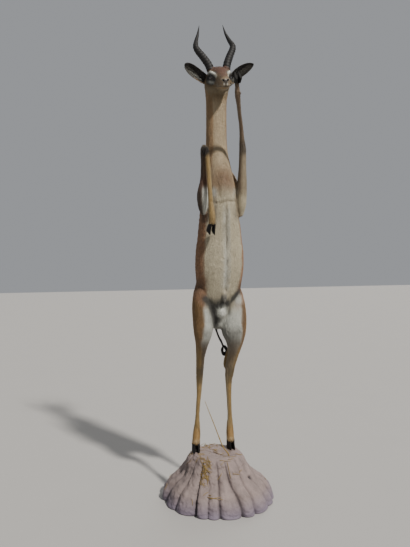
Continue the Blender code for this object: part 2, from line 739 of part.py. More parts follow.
# Horns: how far out, back and up of the head's centre, level with the ground, along the S-curve
HORN_PATH = (
    (0.0430, -0.005, 0.036),
    (0.0510, 0.003, 0.068),
    (0.0725, 0.022, 0.114),
    (0.0950, 0.042, 0.155),
    (0.1025, 0.057, 0.184),
    (0.0925, 0.086, 0.222),
    (0.0775, 0.101, 0.266),
    (0.0660, 0.104, 0.313),
)


def level_point(out, back, up, roll=HEAD_ROLL):
    """A point by how far it lies out to the left, back and up of the head's centre."""
    side, fore, rise = head_axes(0.0, roll)
    return HEAD_CENTRE + side * out - fore * back + rise * up


def build_horns(head, collection):
    for sign, label in ((1.0, "left"), (-1.0, "right")):
        rows = [(sign * out, back, up) for out, back, up in HORN_PATH]
        steps = 3 * HORN_RINGS + 14
        path = catmull(rows, steps)
        stations = []
        for i, place in enumerate(path):
            t = i / (steps - 1.0)
            radius = HORN_RADIUS * (1.0 - t ** 2.3) ** 1.05 + 0.0012
            ridge = 0.0
            if 0.06 < t < 0.78:
                ridge = 0.055 if i % 3 == 0 else -0.025
            radius *= 1.0 + ridge
            stations.append((*level_point(*place), radius * 0.93, radius * 1.05))
        horn = loft("horn", stations, head_axes()[0], steps, 8, 2.0, (0.3, 1.0))
        obj = add_object("horn_" + label, horn, collection, "horn")
        clear_of(obj, head, collection)


EAR_ROOT = (0.050, 0.036, -0.021)
EAR_TIPS = {"left": (0.177, -0.052, 0.064), "right": (0.190, -0.052, 0.046)}


def build_ears(head, collection):
    """Leaf-shaped cups, open to the front, wrapped to a tube at the root."""
    rows, columns = 13, 11
    for sign, label in ((1.0, "left"), (-1.0, "right")):
        root = level_point(sign * EAR_ROOT[0], EAR_ROOT[1], EAR_ROOT[2], roll=0.0)
        out, back, up = EAR_TIPS[label]
        tip = level_point(sign * out, back, up, roll=0.0)
        axis = (tip - root).normalized()
        length = (tip - root).length
        opening = Vector((sign * 0.10, -0.93, -0.25))
        opening = (opening - axis * opening.dot(axis)).normalized()
        edge = axis.cross(opening).normalized()
        bm = bmesh.new()
        grid = []
        for i in range(rows):
            t = 1.0 - (1.0 - i / (rows - 1.0)) ** 1.4
            width = EAR_WIDTH * (0.60 + 1.85 * t) * (1.0 - t) ** 0.62
            width = max(width, 0.005)
            wrap = math.radians(158.0 - 100.0 * min(t / 0.42, 1.0) ** 0.8 - 8.0 * t)
            radius = 0.5 * width / math.sin(min(wrap, math.pi / 2.0))
            bend = opening * (-0.012 * math.sin(math.pi * t))
            centre = root + axis * (length * t) + bend
            line = []
            for j in range(columns):
                angle = wrap * (2.0 * j / (columns - 1.0) - 1.0)
                out = edge * (radius * math.sin(angle))
                back = opening * (radius * (1.0 - math.cos(angle)) - radius * 0.75)
                line.append(bm.verts.new(centre + out + back))
            grid.append(line)
        for low, high in zip(grid, grid[1:]):
            for j in range(columns - 1):
                bm.faces.new((low[j], low[j + 1], high[j + 1], high[j]))
        mesh = mesh_from_bmesh("ear", bm)
        obj = add_object("ear_" + label, mesh, collection, "flesh")
        wall = obj.modifiers.new("wall", "SOLIDIFY")
        wall.thickness = EAR_THICKNESS
        wall.offset = 0.0
        wall.use_even_offset = True
        bake_modifiers(obj)
        clear_of(obj, head, collection)


# Tail: from the rump down and over to the animal's left
TAIL = (
    (0.001, 0.098, 0.992, 0.0125, 0.0115),
    (0.004, 0.114, 0.960, 0.0105, 0.0100),
    (0.010, 0.120, 0.920, 0.0080, 0.0075),
    (0.018, 0.122, 0.880, 0.0065, 0.0060),
    (0.032, 0.123, 0.838, 0.0060, 0.0055),
    (0.050, 0.123, 0.800, 0.0085, 0.0075),
    (0.063, 0.122, 0.772, 0.0095, 0.0080),
    (0.072, 0.121, 0.748, 0.0045, 0.0040),
)
TUFT_LOCKS = 10


def tuft_lock(index):
    """A flat tapered lock of the black tassel at the end of the tail."""
    share = index / TUFT_LOCKS
    angle = 2.0 * math.pi * ((index * 0.382) % 1.0)
    start = catmull(TAIL, 41)[22 + int(14 * share)]
    axis = Vector((0.40, -0.01, -0.92)).normalized()
    out = Vector((math.cos(angle), math.sin(angle), 0.0))
    out = (out - axis * out.dot(axis)).normalized()
    root = Vector(start[:3])
    length = 0.050 + 0.012 * math.sin(5.0 * angle)
    stations = []
    for t, width in ((0.0, 0.0040), (0.35, 0.0052), (0.7, 0.0036), (1.0, 0.0008)):
        spread = 0.003 + 0.009 * math.sin(math.pi * 0.62 * t)
        place = root + axis * (length * t) + out * spread
        stations.append((*place, width, width * 0.45))
    return loft("lock", stations, axis.cross(out), 5, 5, 2.0, (0.0, 0.0))


def build_tail(torso, collection):
    tail = add_object("tail", loft("tail", TAIL, rings=20, sides=8), collection, "tuft")
    locks = new_collection("tail_locks")
    for index in range(TUFT_LOCKS):
        add_object("lock_%02d" % index, tuft_lock(index), locks)
    boolean = tail.modifiers.new("locks", "BOOLEAN")
    boolean.operation = "UNION"
    boolean.operand_type = "COLLECTION"
    boolean.collection = locks
    boolean.solver = "EXACT"
    bake_modifiers(tail)
    for lock in list(locks.objects):
        bpy.data.objects.remove(lock, do_unlink=True)
    bpy.data.collections.remove(locks)
    keep_largest(tail)
    clear_of(tail, torso, collection)
    tail.data.materials.clear()
    tail.data.materials.append(material("tuft"))
    return tail


# Mound: radius share and height share from the middle of the top down to the floor
MOUND_PROFILE = (
    (0.36, 1.000), (0.43, 0.965), (0.52, 0.840), (0.61, 0.660), (0.72, 0.500),
    (0.85, 0.370), (0.945, 0.230), (0.992, 0.100), (1.000, 0.028), (0.985, 0.000),
)


def lobe_shape(angle):
    """How far the surface bulges at an angle round the mound: round lobes with sharp grooves."""
    wobble = 0.20 * math.sin(2.0 * angle + 0.7) + 0.14 * math.sin(5.0 * angle + 2.0)
    phase = (MOUND_LOBES * angle / (2.0 * math.pi) + wobble) % 1.0
    return math.sqrt(max(1.0 - (2.0 * phase - 1.0) ** 2, 0.0))


def build_mound(collection):
    bm = bmesh.new()
    rings = []
    for radius_share, height_share in MOUND_PROFILE:
        ring = []
        slope = 1.0 - height_share
        for i in range(MOUND_SIDES):
            angle = 2.0 * math.pi * i / MOUND_SIDES
            uneven = 0.028 * math.sin(3.0 * angle + 0.4) + 0.030 * math.cos(4.0 * angle + 4.19)
            bulge = MOUND_LOBE_DEPTH * min(slope * 2.2, 1.0) * (lobe_shape(angle) - 1.0)
            radius = MOUND_RADIUS * (radius_share * (1.0 + bulge) + uneven * slope * 0.6)
            centre = MOUND_TOP_SHIFT * height_share
            place = centre + Vector((math.cos(angle), math.sin(angle), 0.0)) * radius
            place.z = MOUND_HEIGHT * height_share
            ring.append(bm.verts.new(place))
        rings.append(ring)
    bridge_rings(bm, rings)
    bmesh.ops.triangulate(bm, faces=bm.faces)
    mesh = mesh_from_bmesh("mound", bm)
    return add_object("base_mound", mesh, collection, "mound")


# Straw: one stalk stuck in the mound between the legs
STALK = (
    (0.034, -0.094, 0.222, 0.0022, 0.0022),
    (0.0215, -0.099, 0.256, 0.0022, 0.0022),
    (-0.006, -0.100, 0.294, 0.0020, 0.0020),
    (-0.052, -0.098, 0.410, 0.0017, 0.0017),
    (-0.101, -0.094, 0.534, 0.0010, 0.0010),
)


def build_straw(mound, collection):
    stalk = add_object("straw_stalk", loft("stalk", STALK, rings=14, sides=6), collection, "straw")
    clear_of(stalk, mound, collection)


def part_body(collection):
    """Melt the body and part it into torso, neck and legs."""
    body = melt("body", body_shapes(), BODY_VOXEL, 4, BODY_FACES, collection)
    cuts = [(*NECK_CUT, NECK_CUT_REACH)]
    for mirror in (-1.0, 1.0):
        elbow, outward = Vector(ELBOW_CUT[0]), Vector(ELBOW_CUT[1])
        elbow.x, outward.x = mirror * elbow.x, mirror * outward.x
        cuts.append((elbow, outward.normalized(), LIMB_CUT_REACH))
        inner = Vector((-mirror * 0.003, 0.0, HIP_CUT_LOW))
        outer = Vector((mirror * 0.17, 0.0, HIP_CUT_HIGH))
        across = (outer - inner).cross(Vector((0.0, 1.0, 0.0))).normalized()
        half = (outer - inner).length / 2.0
        cuts.append(((inner + outer) / 2.0, across, (half, half)))
    for point, normal, reach in cuts:
        subtract(body, cutter_object("slab", slab(point, normal, reach), collection))
    poll, upward = (Vector(v) for v in HEAD_CUT)
    upward.normalize()
    above = slab(poll + upward * 0.1, upward, (0.10, 0.10), 0.2)
    subtract(body, cutter_object("above_neck", above, collection))
    for foot in feet():
        beyond = slab(foot["coronet"] - foot["cut"] * 0.03, foot["cut"], (0.033, 0.033), 0.06)
        subtract(body, cutter_object("beyond_coronet", beyond, collection))
    pieces = islands(body.data)
    bpy.data.objects.remove(body, do_unlink=True)
    named = {
        "torso": Vector((0.0, -0.13, 1.30)),
        "neck": Vector((0.0, -0.04, 2.00)),
        "hindleg_left": Vector((0.068, 0.02, 0.45)),
        "hindleg_right": Vector((-0.108, 0.02, 0.45)),
        "foreleg_left": Vector((0.06, -0.19, 1.98)),
        "foreleg_right": Vector((-0.09, -0.14, 1.65)),
    }
    nodes = {}
    for name, seed in named.items():
        nearest = min(pieces, key=lambda piece: distance_to(piece, seed))
        pieces.remove(nearest)
        nearest.name = name
        nodes[name] = add_object(name, nearest, collection, "flesh")
    if any(len(piece.vertices) > SCRAP_POINTS for piece in pieces):
        raise ValueError("a cut parted a limb that has no name")
    return nodes


def main():
    clear_scene()
    gerenuk = new_collection("gerenuk")
    nodes = part_body(gerenuk)
    head = build_head(gerenuk)
    build_eyes(gerenuk)
    build_horns(head, gerenuk)
    build_ears(head, gerenuk)
    build_tail(nodes["torso"], gerenuk)
    for foot in feet():
        for sign in (-1.0, 1.0):
            claw(foot, sign, gerenuk)
    mound = build_mound(gerenuk)
    build_straw(mound, gerenuk)
    for obj in gerenuk.objects:
        obj.data.shade_smooth()
        obj.data.set_sharp_from_angle(angle=math.radians(40.0))
    print("triangles", {o.name: sum(len(p.vertices) - 2 for p in o.data.polygons)
                        for o in gerenuk.objects})


main()
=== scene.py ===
"""The looks of a mounted gerenuk ram: coat, horns, eyes, hooves, tail, mound and straw.

Metres, +Z up. -Y is the belly side and +X is the animal's left.
"""

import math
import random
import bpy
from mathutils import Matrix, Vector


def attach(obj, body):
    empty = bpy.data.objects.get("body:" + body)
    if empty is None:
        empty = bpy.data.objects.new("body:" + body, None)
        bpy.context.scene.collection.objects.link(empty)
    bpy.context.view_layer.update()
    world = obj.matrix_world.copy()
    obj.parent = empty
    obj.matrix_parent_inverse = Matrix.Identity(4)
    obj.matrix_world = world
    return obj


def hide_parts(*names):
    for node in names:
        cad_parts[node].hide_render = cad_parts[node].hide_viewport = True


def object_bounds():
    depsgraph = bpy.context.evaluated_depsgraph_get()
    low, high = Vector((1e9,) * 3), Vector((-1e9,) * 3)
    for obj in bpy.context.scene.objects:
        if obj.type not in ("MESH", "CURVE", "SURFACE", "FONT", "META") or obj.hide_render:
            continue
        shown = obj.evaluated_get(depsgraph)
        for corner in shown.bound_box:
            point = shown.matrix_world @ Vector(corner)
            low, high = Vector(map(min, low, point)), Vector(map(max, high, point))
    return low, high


bl_info = {
    "name": "Gerenuk on a display mound",
    "version": (1, 0, 0),
    "blender": (4, 5, 0),
    "location": "View3D > Sidebar > Gerenuk",
    "description": "Builds the coat, horns, eyes, hooves, mound and stage of a mounted gerenuk",
    "category": "Add Mesh",
}

import bmesh
import bpy
import numpy as np
from bpy.props import FloatProperty, FloatVectorProperty, IntProperty, PointerProperty
from mathutils import Matrix, Vector, noise
from mathutils.bvhtree import BVHTree
from mathutils.kdtree import KDTree

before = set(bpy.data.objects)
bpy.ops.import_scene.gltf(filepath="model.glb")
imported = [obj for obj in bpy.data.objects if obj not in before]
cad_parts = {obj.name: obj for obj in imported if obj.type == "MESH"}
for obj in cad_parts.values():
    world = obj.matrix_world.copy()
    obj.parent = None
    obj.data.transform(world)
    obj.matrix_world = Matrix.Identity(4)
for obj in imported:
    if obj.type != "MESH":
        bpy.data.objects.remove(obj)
CAD_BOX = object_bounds()

FLESH = ("torso", "neck", "head", "hindleg_left", "hindleg_right", "foreleg_left",
         "foreleg_right", "ear_left", "ear_right")
SOLID_GAP = 0.00035
HEAD_TRIANGLES = 78000
BODY_TRIANGLES = 68000
FINE_TRIANGLES = 197000

# Head placement: its centre, and its turn, nod and tilt
HEAD_CENTRE = Vector((0.009, 0.025, 2.235))
HEAD_YAW = math.radians(-5.0)
HEAD_PITCH = math.radians(20.0)
HEAD_ROLL = math.radians(4.5)
EYE_RADIUS = 0.0185
EYE_PLACE = (0.0430, 0.043, 0.006)
LID_TURN = math.radians(32.0)
LID_TILT = math.radians(9.0)
LID_HALF_LONG = math.radians(56.0)
LID_HALF_TALL = math.radians(37.0)

# Middle line of the trunk and neck: height, then how far back it lies
TRUNK_LINE = ((0.90, 0.020), (1.14, -0.003), (1.30, -0.016), (1.50, -0.009), (1.66, 0.003),
              (1.80, 0.017), (2.00, 0.020), (2.20, 0.034))

# Lines that the hair follows, from where it starts to where it ends
HAIR_PATHS = {
    "torso": ((-0.005, 0.014, 1.86), (-0.004, 0.003, 1.66), (-0.003, -0.009, 1.50),
              (0.0, -0.016, 1.30), (0.0, -0.003, 1.14), (0.0, 0.014, 1.00), (0.0, 0.022, 0.86)),
    "neck": ((0.003, 0.036, 2.25), (-0.006, 0.023, 2.10), (-0.007, 0.020, 1.95),
             (-0.006, 0.015, 1.78)),
    "hindleg_right": ((-0.080, 0.018, 1.08), (-0.083, 0.000, 0.942), (-0.0914, 0.006, 0.809),
                      (-0.0895, 0.050, 0.684), (-0.097, 0.041, 0.547), (-0.110, 0.024, 0.430),
                      (-0.1185, 0.007, 0.340), (-0.127, -0.012, 0.275)),
    "hindleg_left": ((0.073, 0.020, 1.07), (0.080, 0.000, 0.932), (0.0872, -0.003, 0.8175),
                     (0.080, 0.040, 0.6925), (0.070, 0.045, 0.600), (0.068, 0.030, 0.475),
                     (0.0679, 0.016, 0.3718), (0.064, -0.012, 0.275)),
    "foreleg_right": ((-0.101, -0.068, 1.500), (-0.1095, -0.082, 1.597), (-0.1036, -0.076, 1.762),
                      (-0.103, -0.090, 1.845), (-0.0955, -0.118, 1.790), (-0.0898, -0.136, 1.674),
                      (-0.0872, -0.156, 1.561), (-0.0842, -0.173, 1.425)),
    "foreleg_left": ((0.096, -0.072, 1.500), (0.098, -0.090, 1.610), (0.0962, -0.115, 1.790),
                     (0.088, -0.131, 1.860), (0.069, -0.170, 1.946), (0.040, -0.221, 2.033),
                     (0.021, -0.258, 2.094), (0.0135, -0.275, 2.138)),
}

# Horns and ears: how far out, back and up of the head's centre, level with the ground
HORN_PATH = ((0.0430, -0.005, 0.036), (0.0510, 0.003, 0.068), (0.0725, 0.022, 0.114),
             (0.0950, 0.042, 0.155), (0.1025, 0.057, 0.184), (0.0925, 0.086, 0.222),
             (0.0775, 0.101, 0.266), (0.0660, 0.104, 0.313))
HORN_RADIUS = 0.0205
EAR_ROOT = (0.050, 0.036, -0.021)
EAR_TIPS = {"left": (0.177, -0.052, 0.064), "right": (0.190, -0.052, 0.046)}

CLAW_SPREAD = math.radians(5.0)

# Feet: the middle of the coronet, the way the toe points and the way up from the sole
WALL_ANGLE = math.radians(54.0)
FEET = {
    "hind_right": ((-0.1262, -0.010, 0.2935), (0.0, 0.0, -1.0), (-0.139, -0.990, 0.0), False),
    "hind_left": ((0.0645, -0.010, 0.2935), (0.0, 0.0, -1.0), (0.070, -0.998, 0.0), False),
    "fore_right": ((-0.0840, -0.1725, 1.440), (-0.02, -0.04, -1.0), (0.0, -1.0, 0.0), True),
    "fore_left": ((0.0145, -0.272, 2.130), (-0.14, -0.32, 0.92), (0.0, 1.0, 0.3), True),
}

# Tail: the middle line of its shaft, from the rump to the tuft
TAIL_LINE = ((0.001, 0.098, 0.992, 0.0105), (0.004, 0.114, 0.960, 0.0085),
             (0.010, 0.120, 0.920, 0.0058), (0.018, 0.122, 0.880, 0.0045),
             (0.032, 0.123, 0.838, 0.0038), (0.048, 0.123, 0.805, 0.0034),
             (0.060, 0.122, 0.778, 0.0028))

# Mound: radius share and height share from the middle of the top down to the floor
MOUND_HEIGHT = 0.25
MOUND_RADIUS = 0.302
MOUND_TOP_SHIFT = Vector((-0.022, -0.022, 0.0))
MOUND_PROFILE = ((0.00, 1.000), (0.20, 1.000), (0.36, 0.998), (0.43, 0.962), (0.52, 0.840),
                 (0.61, 0.660), (0.72, 0.500), (0.85, 0.370), (0.945, 0.230), (0.992, 0.100),
                 (1.000, 0.028), (0.985, 0.000))
# Angle of each groove round the mound and how deep it is
MOUND_GROOVES = ((8.0, 0.8), (30.0, 1.0), (52.0, 0.6), (75.0, 0.9), (100.0, 0.7), (122.0, 1.0),
                 (146.0, 0.8), (165.0, 0.6), (184.0, 0.8), (204.0, 0.45), (231.0, 1.0), (242.0, 0.6),
                 (257.0, 0.95), (276.0, 1.0), (294.0, 0.75), (314.0, 0.5), (334.0, 0.8), (350.0, 0.7))
MOUND_HOLE = (0.132, -0.155, 0.141)

# Straw: both ends of each longer piece on the mound, as an angle round it and a height
LAID_STRAWS = (
    ((243.0, 0.098), (260.0, 0.090)), ((244.0, 0.092), (258.0, 0.099)),
    ((278.0, 0.232), (276.0, 0.163)), ((282.0, 0.182), (296.0, 0.170)),
    ((219.0, 0.238), (236.0, 0.200)), ((238.0, 0.243), (231.0, 0.140)),
    ((233.0, 0.215), (243.0, 0.138)), ((228.0, 0.190), (240.0, 0.205)),
    ((229.0, 0.160), (241.0, 0.172)), ((263.0, 0.241), (287.0, 0.233)),
)

STALK_LINE = ((0.034, -0.094, 0.222, 0.0030), (0.0215, -0.099, 0.256, 0.0030),
              (-0.006, -0.100, 0.294, 0.0028), (-0.030, -0.099, 0.352, 0.0024),
              (-0.052, -0.098, 0.410, 0.0021), (-0.077, -0.096, 0.472, 0.0017),
              (-0.101, -0.094, 0.534, 0.0010))

# Camera: level, with the picture's frame shifted up
CAMERA_PLACE = (-0.924, -3.169, 1.35)
CAMERA_LENS = 40.80
CAMERA_SHIFT = -31.5 / 547.0


# Sizes and colours
def tone(red, green, blue):
    """A colour on a 0 to 255 chart, as the linear values that the renderer uses."""
    shares = [value / 255.0 for value in (red, green, blue)]
    return tuple(c / 12.92 if c <= 0.04045 else ((c + 0.055) / 1.055) ** 2.4 for c in shares)


def size(name, value, text):
    return FloatProperty(name=name, default=value, min=0.0, precision=5, unit="LENGTH",
                         description=text)


def colour(name, chart, text):
    return FloatVectorProperty(name=name, default=tone(*chart), size=3, min=0.0, max=1.0,
                               subtype="COLOR", description=text)


class GerenukCoatSettings(bpy.types.PropertyGroup):
    depth: size("Depth", 0.0016, "How far the skin lies below the tips of the body hair")
    length: size("Length", 0.0115, "Length of the hair on the trunk")
    width: size("Width", 0.0008, "Half width of one small lock of hair")
    density: FloatProperty(name="Density", default=64000.0, min=0.0,
                           description="Locks on a square metre of the trunk")
    seed: IntProperty(name="Seed", default=4, description="Start of the random draw")
    # Some of these colours are also painted as shade: dark under the arms, brown along the breast crease, tan and
    # grey on the inner thighs, gaskins and hocks and in the groin
    tan: colour("Tan", (142, 115, 81), "Neck, shoulders and legs")
    cream: colour("Cream", (184, 174, 148), "Belly, throat and chest")
    brown: colour("Brown", (94, 69, 48), "Flanks")
    rufous: colour("Rufous", (84, 53, 38), "Back and crown")
    ochre: colour("Ochre", (124, 101, 58), "Shanks and fetlocks")
    dark: colour("Dark", (33, 27, 24), "Knees, ear edges and the skin round the eyes")
    white: colour("White", (186, 187, 178), "Brows, inner thighs and chin")
    grey: colour("Grey", (130, 126, 117), "Inside of the ears and shaded folds")


class GerenukHornSettings(bpy.types.PropertyGroup):
    rings: IntProperty(name="Rings", default=13, min=1, description="Raised rings on each horn")
    ring_height: size("Ring height", 0.0013, "How far each ring stands proud")
    dark: colour("Dark", (15, 14, 14), "Grooves between the rings")
    worn: colour("Worn", (36, 33, 31), "Worn crests of the rings")


class GerenukEyeSettings(bpy.types.PropertyGroup):
    iris: colour("Iris", (38, 24, 16), "Dark brown round the pupil")
    pupil: colour("Pupil", (6, 6, 8), "The level pupil")
    lid: colour("Lid", (26, 22, 20), "Bare rim of the lids")


class GerenukHoofSettings(bpy.types.PropertyGroup):
    dark: colour("Dark", (12, 11, 10), "Horn of the hooves")
    light: colour("Light", (30, 26, 23), "Growth bands and worn edges")


class GerenukMoundSettings(bpy.types.PropertyGroup):
    stone: colour("Stone", (136, 121, 117), "Raised parts of the mound")
    lilac: colour("Lilac", (106, 98, 117), "Foot of the mound")
    # Groove is painted shade in the mound's grooves and in its hole
    groove: colour("Groove", (52, 45, 47), "Grooves between the lobes")
    straw: colour("Straw", (148, 122, 64), "Dry straw")


class GerenukStageSettings(bpy.types.PropertyGroup):
    floor: colour("Floor", (164, 162, 159), "Floor and backdrop")
    key: FloatProperty(name="Key", default=4.9, min=0.0, description="Strength of the main light")
    fill: FloatProperty(name="Fill", default=0.35, min=0.0, description="Strength of the sky")
    rim: FloatProperty(name="Rim", default=0.9, min=0.0, description="Strength of the light behind")


class GerenukSettings(bpy.types.PropertyGroup):
    coat: PointerProperty(type=GerenukCoatSettings)
    horn: PointerProperty(type=GerenukHornSettings)
    eye: PointerProperty(type=GerenukEyeSettings)
    hoof: PointerProperty(type=GerenukHoofSettings)
    mound: PointerProperty(type=GerenukMoundSettings)
    stage: PointerProperty(type=GerenukStageSettings)


# Small maths
def smooth(low, high, x):
    """0 below low, 1 above high, with an eased ramp between; low may be the larger."""
    t = np.clip((np.asarray(x, dtype=float) - low) / (high - low), 0.0, 1.0)
    return t * t * (3.0 - 2.0 * t)


def bump_at(x, centre, width):
    return np.exp(-((np.asarray(x) - centre) / width) ** 2)


def unit(rows):
    return rows / np.maximum(np.linalg.norm(rows, axis=-1, keepdims=True), 1e-9)


def catmull(values, count):
    """Smooth rows through the given rows."""
    rows = np.array(values, dtype=float)
    padded = np.vstack([2 * rows[0] - rows[1], rows, 2 * rows[-1] - rows[-2]])
    out = []
    for step in np.linspace(0.0, len(rows) - 1.0, count):
        i = min(int(step), len(rows) - 2)
        t = step - i
        a, b, c, d = padded[i:i + 4]
        out.append(0.5 * (2 * b + (c - a) * t + (2 * a - 5 * b + 4 * c - d) * t * t
                          + (3 * b - a - 3 * c + d) * t ** 3))
    return np.array(out)


def wobble(points, scale, seed=0.0):
    """A soft uneven field between about -1 and 1, to break straight edges."""
    x, y, z = (points * scale).T
    first = np.sin(x * 1.7 + 2.1 * np.sin(y * 1.3 + seed) + seed)
    second = np.sin(z * 1.9 + 1.7 * np.sin(x * 1.1 + z * 0.7 + seed))
    third = np.sin(y * 2.3 + 1.9 * np.sin(z * 1.6 - seed))
    return (first + second + third) / 3.0


# Head directions
def head_axes(pitch=HEAD_PITCH, roll=HEAD_ROLL):
    """The directions to the head's left, forward along it and up."""
    side = Vector((math.cos(HEAD_YAW), math.sin(HEAD_YAW), 0.0))
    level = Vector((math.sin(HEAD_YAW), -math.cos(HEAD_YAW), 0.0))
    fore = level * math.cos(pitch) - Vector((0.0, 0.0, math.sin(pitch)))
    up = fore.cross(side).normalized()
    return (side * math.cos(roll) + up * math.sin(roll), fore,
            up * math.cos(roll) - side * math.sin(roll))


HEAD_TURN = Matrix(head_axes()).transposed()


def head_point(side, fore, up):
    return HEAD_CENTRE + HEAD_TURN @ Vector((side, fore, up))


def level_point(out, back, up, roll=HEAD_ROLL):
    side, fore, rise = head_axes(0.0, roll)
    return HEAD_CENTRE + side * out - fore * back + rise * up


def head_coordinates(points):
    """How far each point lies to the side, forward and up of the head's centre."""
    return (points - np.array(HEAD_CENTRE)) @ np.array(HEAD_TURN)


def eye_frame(sign):
    """The eye's centre and its directions out, forward and up."""
    centre = head_point(sign * EYE_PLACE[0], EYE_PLACE[1], EYE_PLACE[2])
    turn = HEAD_TURN @ Matrix.Rotation(sign * LID_TURN, 3, "Z")
    turn = turn @ Matrix.Rotation(-LID_TILT, 3, "X")
    outward, forward, upward = (turn @ Vector(v) for v in ((sign, 0, 0), (0, 1, 0), (0, 0, 1)))
    return centre, outward, forward, upward


def lid_edge(angle, spread=1.0):
    """The lid opening's edge as angles forward and up from the eye's axis."""
    c, s = math.cos(angle), math.sin(angle)
    along = LID_HALF_LONG * spread * c
    tall = LID_HALF_TALL * spread * s * (1.0 - 0.22 * c * c)
    return along, tall


def eye_direction(axes, along, tall):
    outward, forward, upward = axes
    reach = math.hypot(along, tall)
    if reach < 1e-6:
        return outward.copy()
    flat = (forward * along + upward * tall) / reach
    return outward * math.cos(reach) + flat * math.sin(reach)


def ear_frame(label):
    """An ear's root, tip and the directions across it and out of its cup."""
    sign = 1.0 if label == "left" else -1.0
    root = level_point(sign * EAR_ROOT[0], EAR_ROOT[1], EAR_ROOT[2], roll=0.0)
    out, back, up = EAR_TIPS[label]
    tip = level_point(sign * out, back, up, roll=0.0)
    axis = (tip - root).normalized()
    opening = Vector((sign * 0.10, -0.93, -0.25))
    opening = (opening - axis * opening.dot(axis)).normalized()
    edge = axis.cross(opening).normalized()
    if edge.z < 0.0:
        edge = -edge
    return root, tip, edge, opening


def foot_axes(name):
    """The coronet and the foot's toe and up directions."""
    coronet, along, dorsal, raised = FEET[name]
    along = Vector(along).normalized()
    dorsal = Vector(dorsal)
    dorsal = (dorsal - along * dorsal.dot(along)).normalized()
    if not raised:
        return Vector(coronet), dorsal, -along
    toe = along * math.cos(WALL_ANGLE) + dorsal * math.sin(WALL_ANGLE)
    return Vector(coronet), toe, dorsal * math.cos(WALL_ANGLE) - along * math.sin(WALL_ANGLE)


HAIR_PATHS["head"] = [tuple(head_point(*p)) for p in ((0.0, 0.200, -0.016), (0.0, 0.10, -0.012),
                                                     (0.0, 0.02, -0.008), (0.0, -0.06, -0.012))]
for ear_label in ("left", "right"):
    HAIR_PATHS["ear_" + ear_label] = [tuple(p) for p in ear_frame(ear_label)[:2]]


# Meshes and their data
def link(name, mesh):
    obj = bpy.data.objects.new(name, mesh)
    bpy.context.scene.collection.objects.link(obj)
    return obj


def mesh_from_arrays(name, points, faces):
    mesh = bpy.data.meshes.new(name)
    mesh.from_pydata([tuple(p) for p in points], [], [tuple(f) for f in faces])
    mesh.validate()
    mesh.update()
    return mesh


def mesh_from_bmesh(name, bm):
    bmesh.ops.recalc_face_normals(bm, faces=bm.faces)
    mesh = bpy.data.meshes.new(name)
    bm.to_mesh(mesh)
    bm.free()
    return mesh


def bake_modifiers(obj):
    """Replace an object's data by its evaluated mesh."""
    depsgraph = bpy.context.evaluated_depsgraph_get()
    mesh = bpy.data.meshes.new_from_object(obj.evaluated_get(depsgraph))
    obj.modifiers.clear()
    obj.data = mesh
    return obj


def vertex_rows(mesh):
    points = np.empty(3 * len(mesh.vertices), dtype=np.float32)
    normals = np.empty_like(points)
    mesh.vertices.foreach_get("co", points)
    mesh.vertex_normals.foreach_get("vector", normals)
    return points.reshape(-1, 3).astype(float), normals.reshape(-1, 3).astype(float)


def place_vertices(mesh, points):
    mesh.vertices.foreach_set("co", points.astype(np.float32).ravel())
    mesh.update()


def edge_rows(mesh):
    edges = np.empty(2 * len(mesh.edges), dtype=np.int32)
    mesh.edges.foreach_get("vertices", edges)
    return edges.reshape(-1, 2)


def spread_values(values, edges, rounds):
    """Values averaged over neighbouring vertices, a number of times."""
    count = len(values)
    ones = np.bincount(edges.ravel(), minlength=count).astype(float)
    ones = np.maximum(ones, 1.0)
    for _ in range(rounds):
        total = np.empty_like(values)
        for k in range(values.shape[1]):
            column = values[:, k]
            total[:, k] = (np.bincount(edges[:, 0], column[edges[:, 1]], count)
                           + np.bincount(edges[:, 1], column[edges[:, 0]], count))
        values = 0.5 * values + 0.5 * total / ones[:, None]
    return values


def store(mesh, name, kind, rows):
    """Write an attribute on the vertices."""
    attribute = mesh.attributes.get(name) or mesh.attributes.new(name, kind, "POINT")
    key = {"FLOAT": "value", "FLOAT_VECTOR": "vector", "FLOAT_COLOR": "color"}[kind]
    if kind == "FLOAT_COLOR":
        rows = np.hstack([rows, np.ones((len(rows), 1))])
    attribute.data.foreach_set(key, np.asarray(rows, dtype=np.float32).ravel())


def merged_copy(name):
    """The vertices of a frame node joined into one closed surface, as a new mesh."""
    bm = bmesh.new()
    bm.from_mesh(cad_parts[name].data)
    bmesh.ops.remove_doubles(bm, verts=bm.verts, dist=1e-6)
    bm.normal_update()
    return bm


def keep_largest(mesh):
    """Drop all but the largest connected surface."""
    edges = edge_rows(mesh)
    labels = np.arange(len(mesh.vertices))
    while True:
        low = np.minimum(labels[edges[:, 0]], labels[edges[:, 1]])
        fresh = labels.copy()
        np.minimum.at(fresh, edges[:, 0], low)
        np.minimum.at(fresh, edges[:, 1], low)
        fresh = fresh[fresh]
        fresh = fresh[fresh]
        if np.array_equal(fresh, labels):
            break
        labels = fresh
    kept = np.bincount(labels).argmax()
    bm = bmesh.new()
    bm.from_mesh(mesh)
    bm.verts.ensure_lookup_table()
    bmesh.ops.delete(bm, geom=[v for v in bm.verts if labels[v.index] != kept], context="VERTS")
    bm.to_mesh(mesh)
    bm.free()


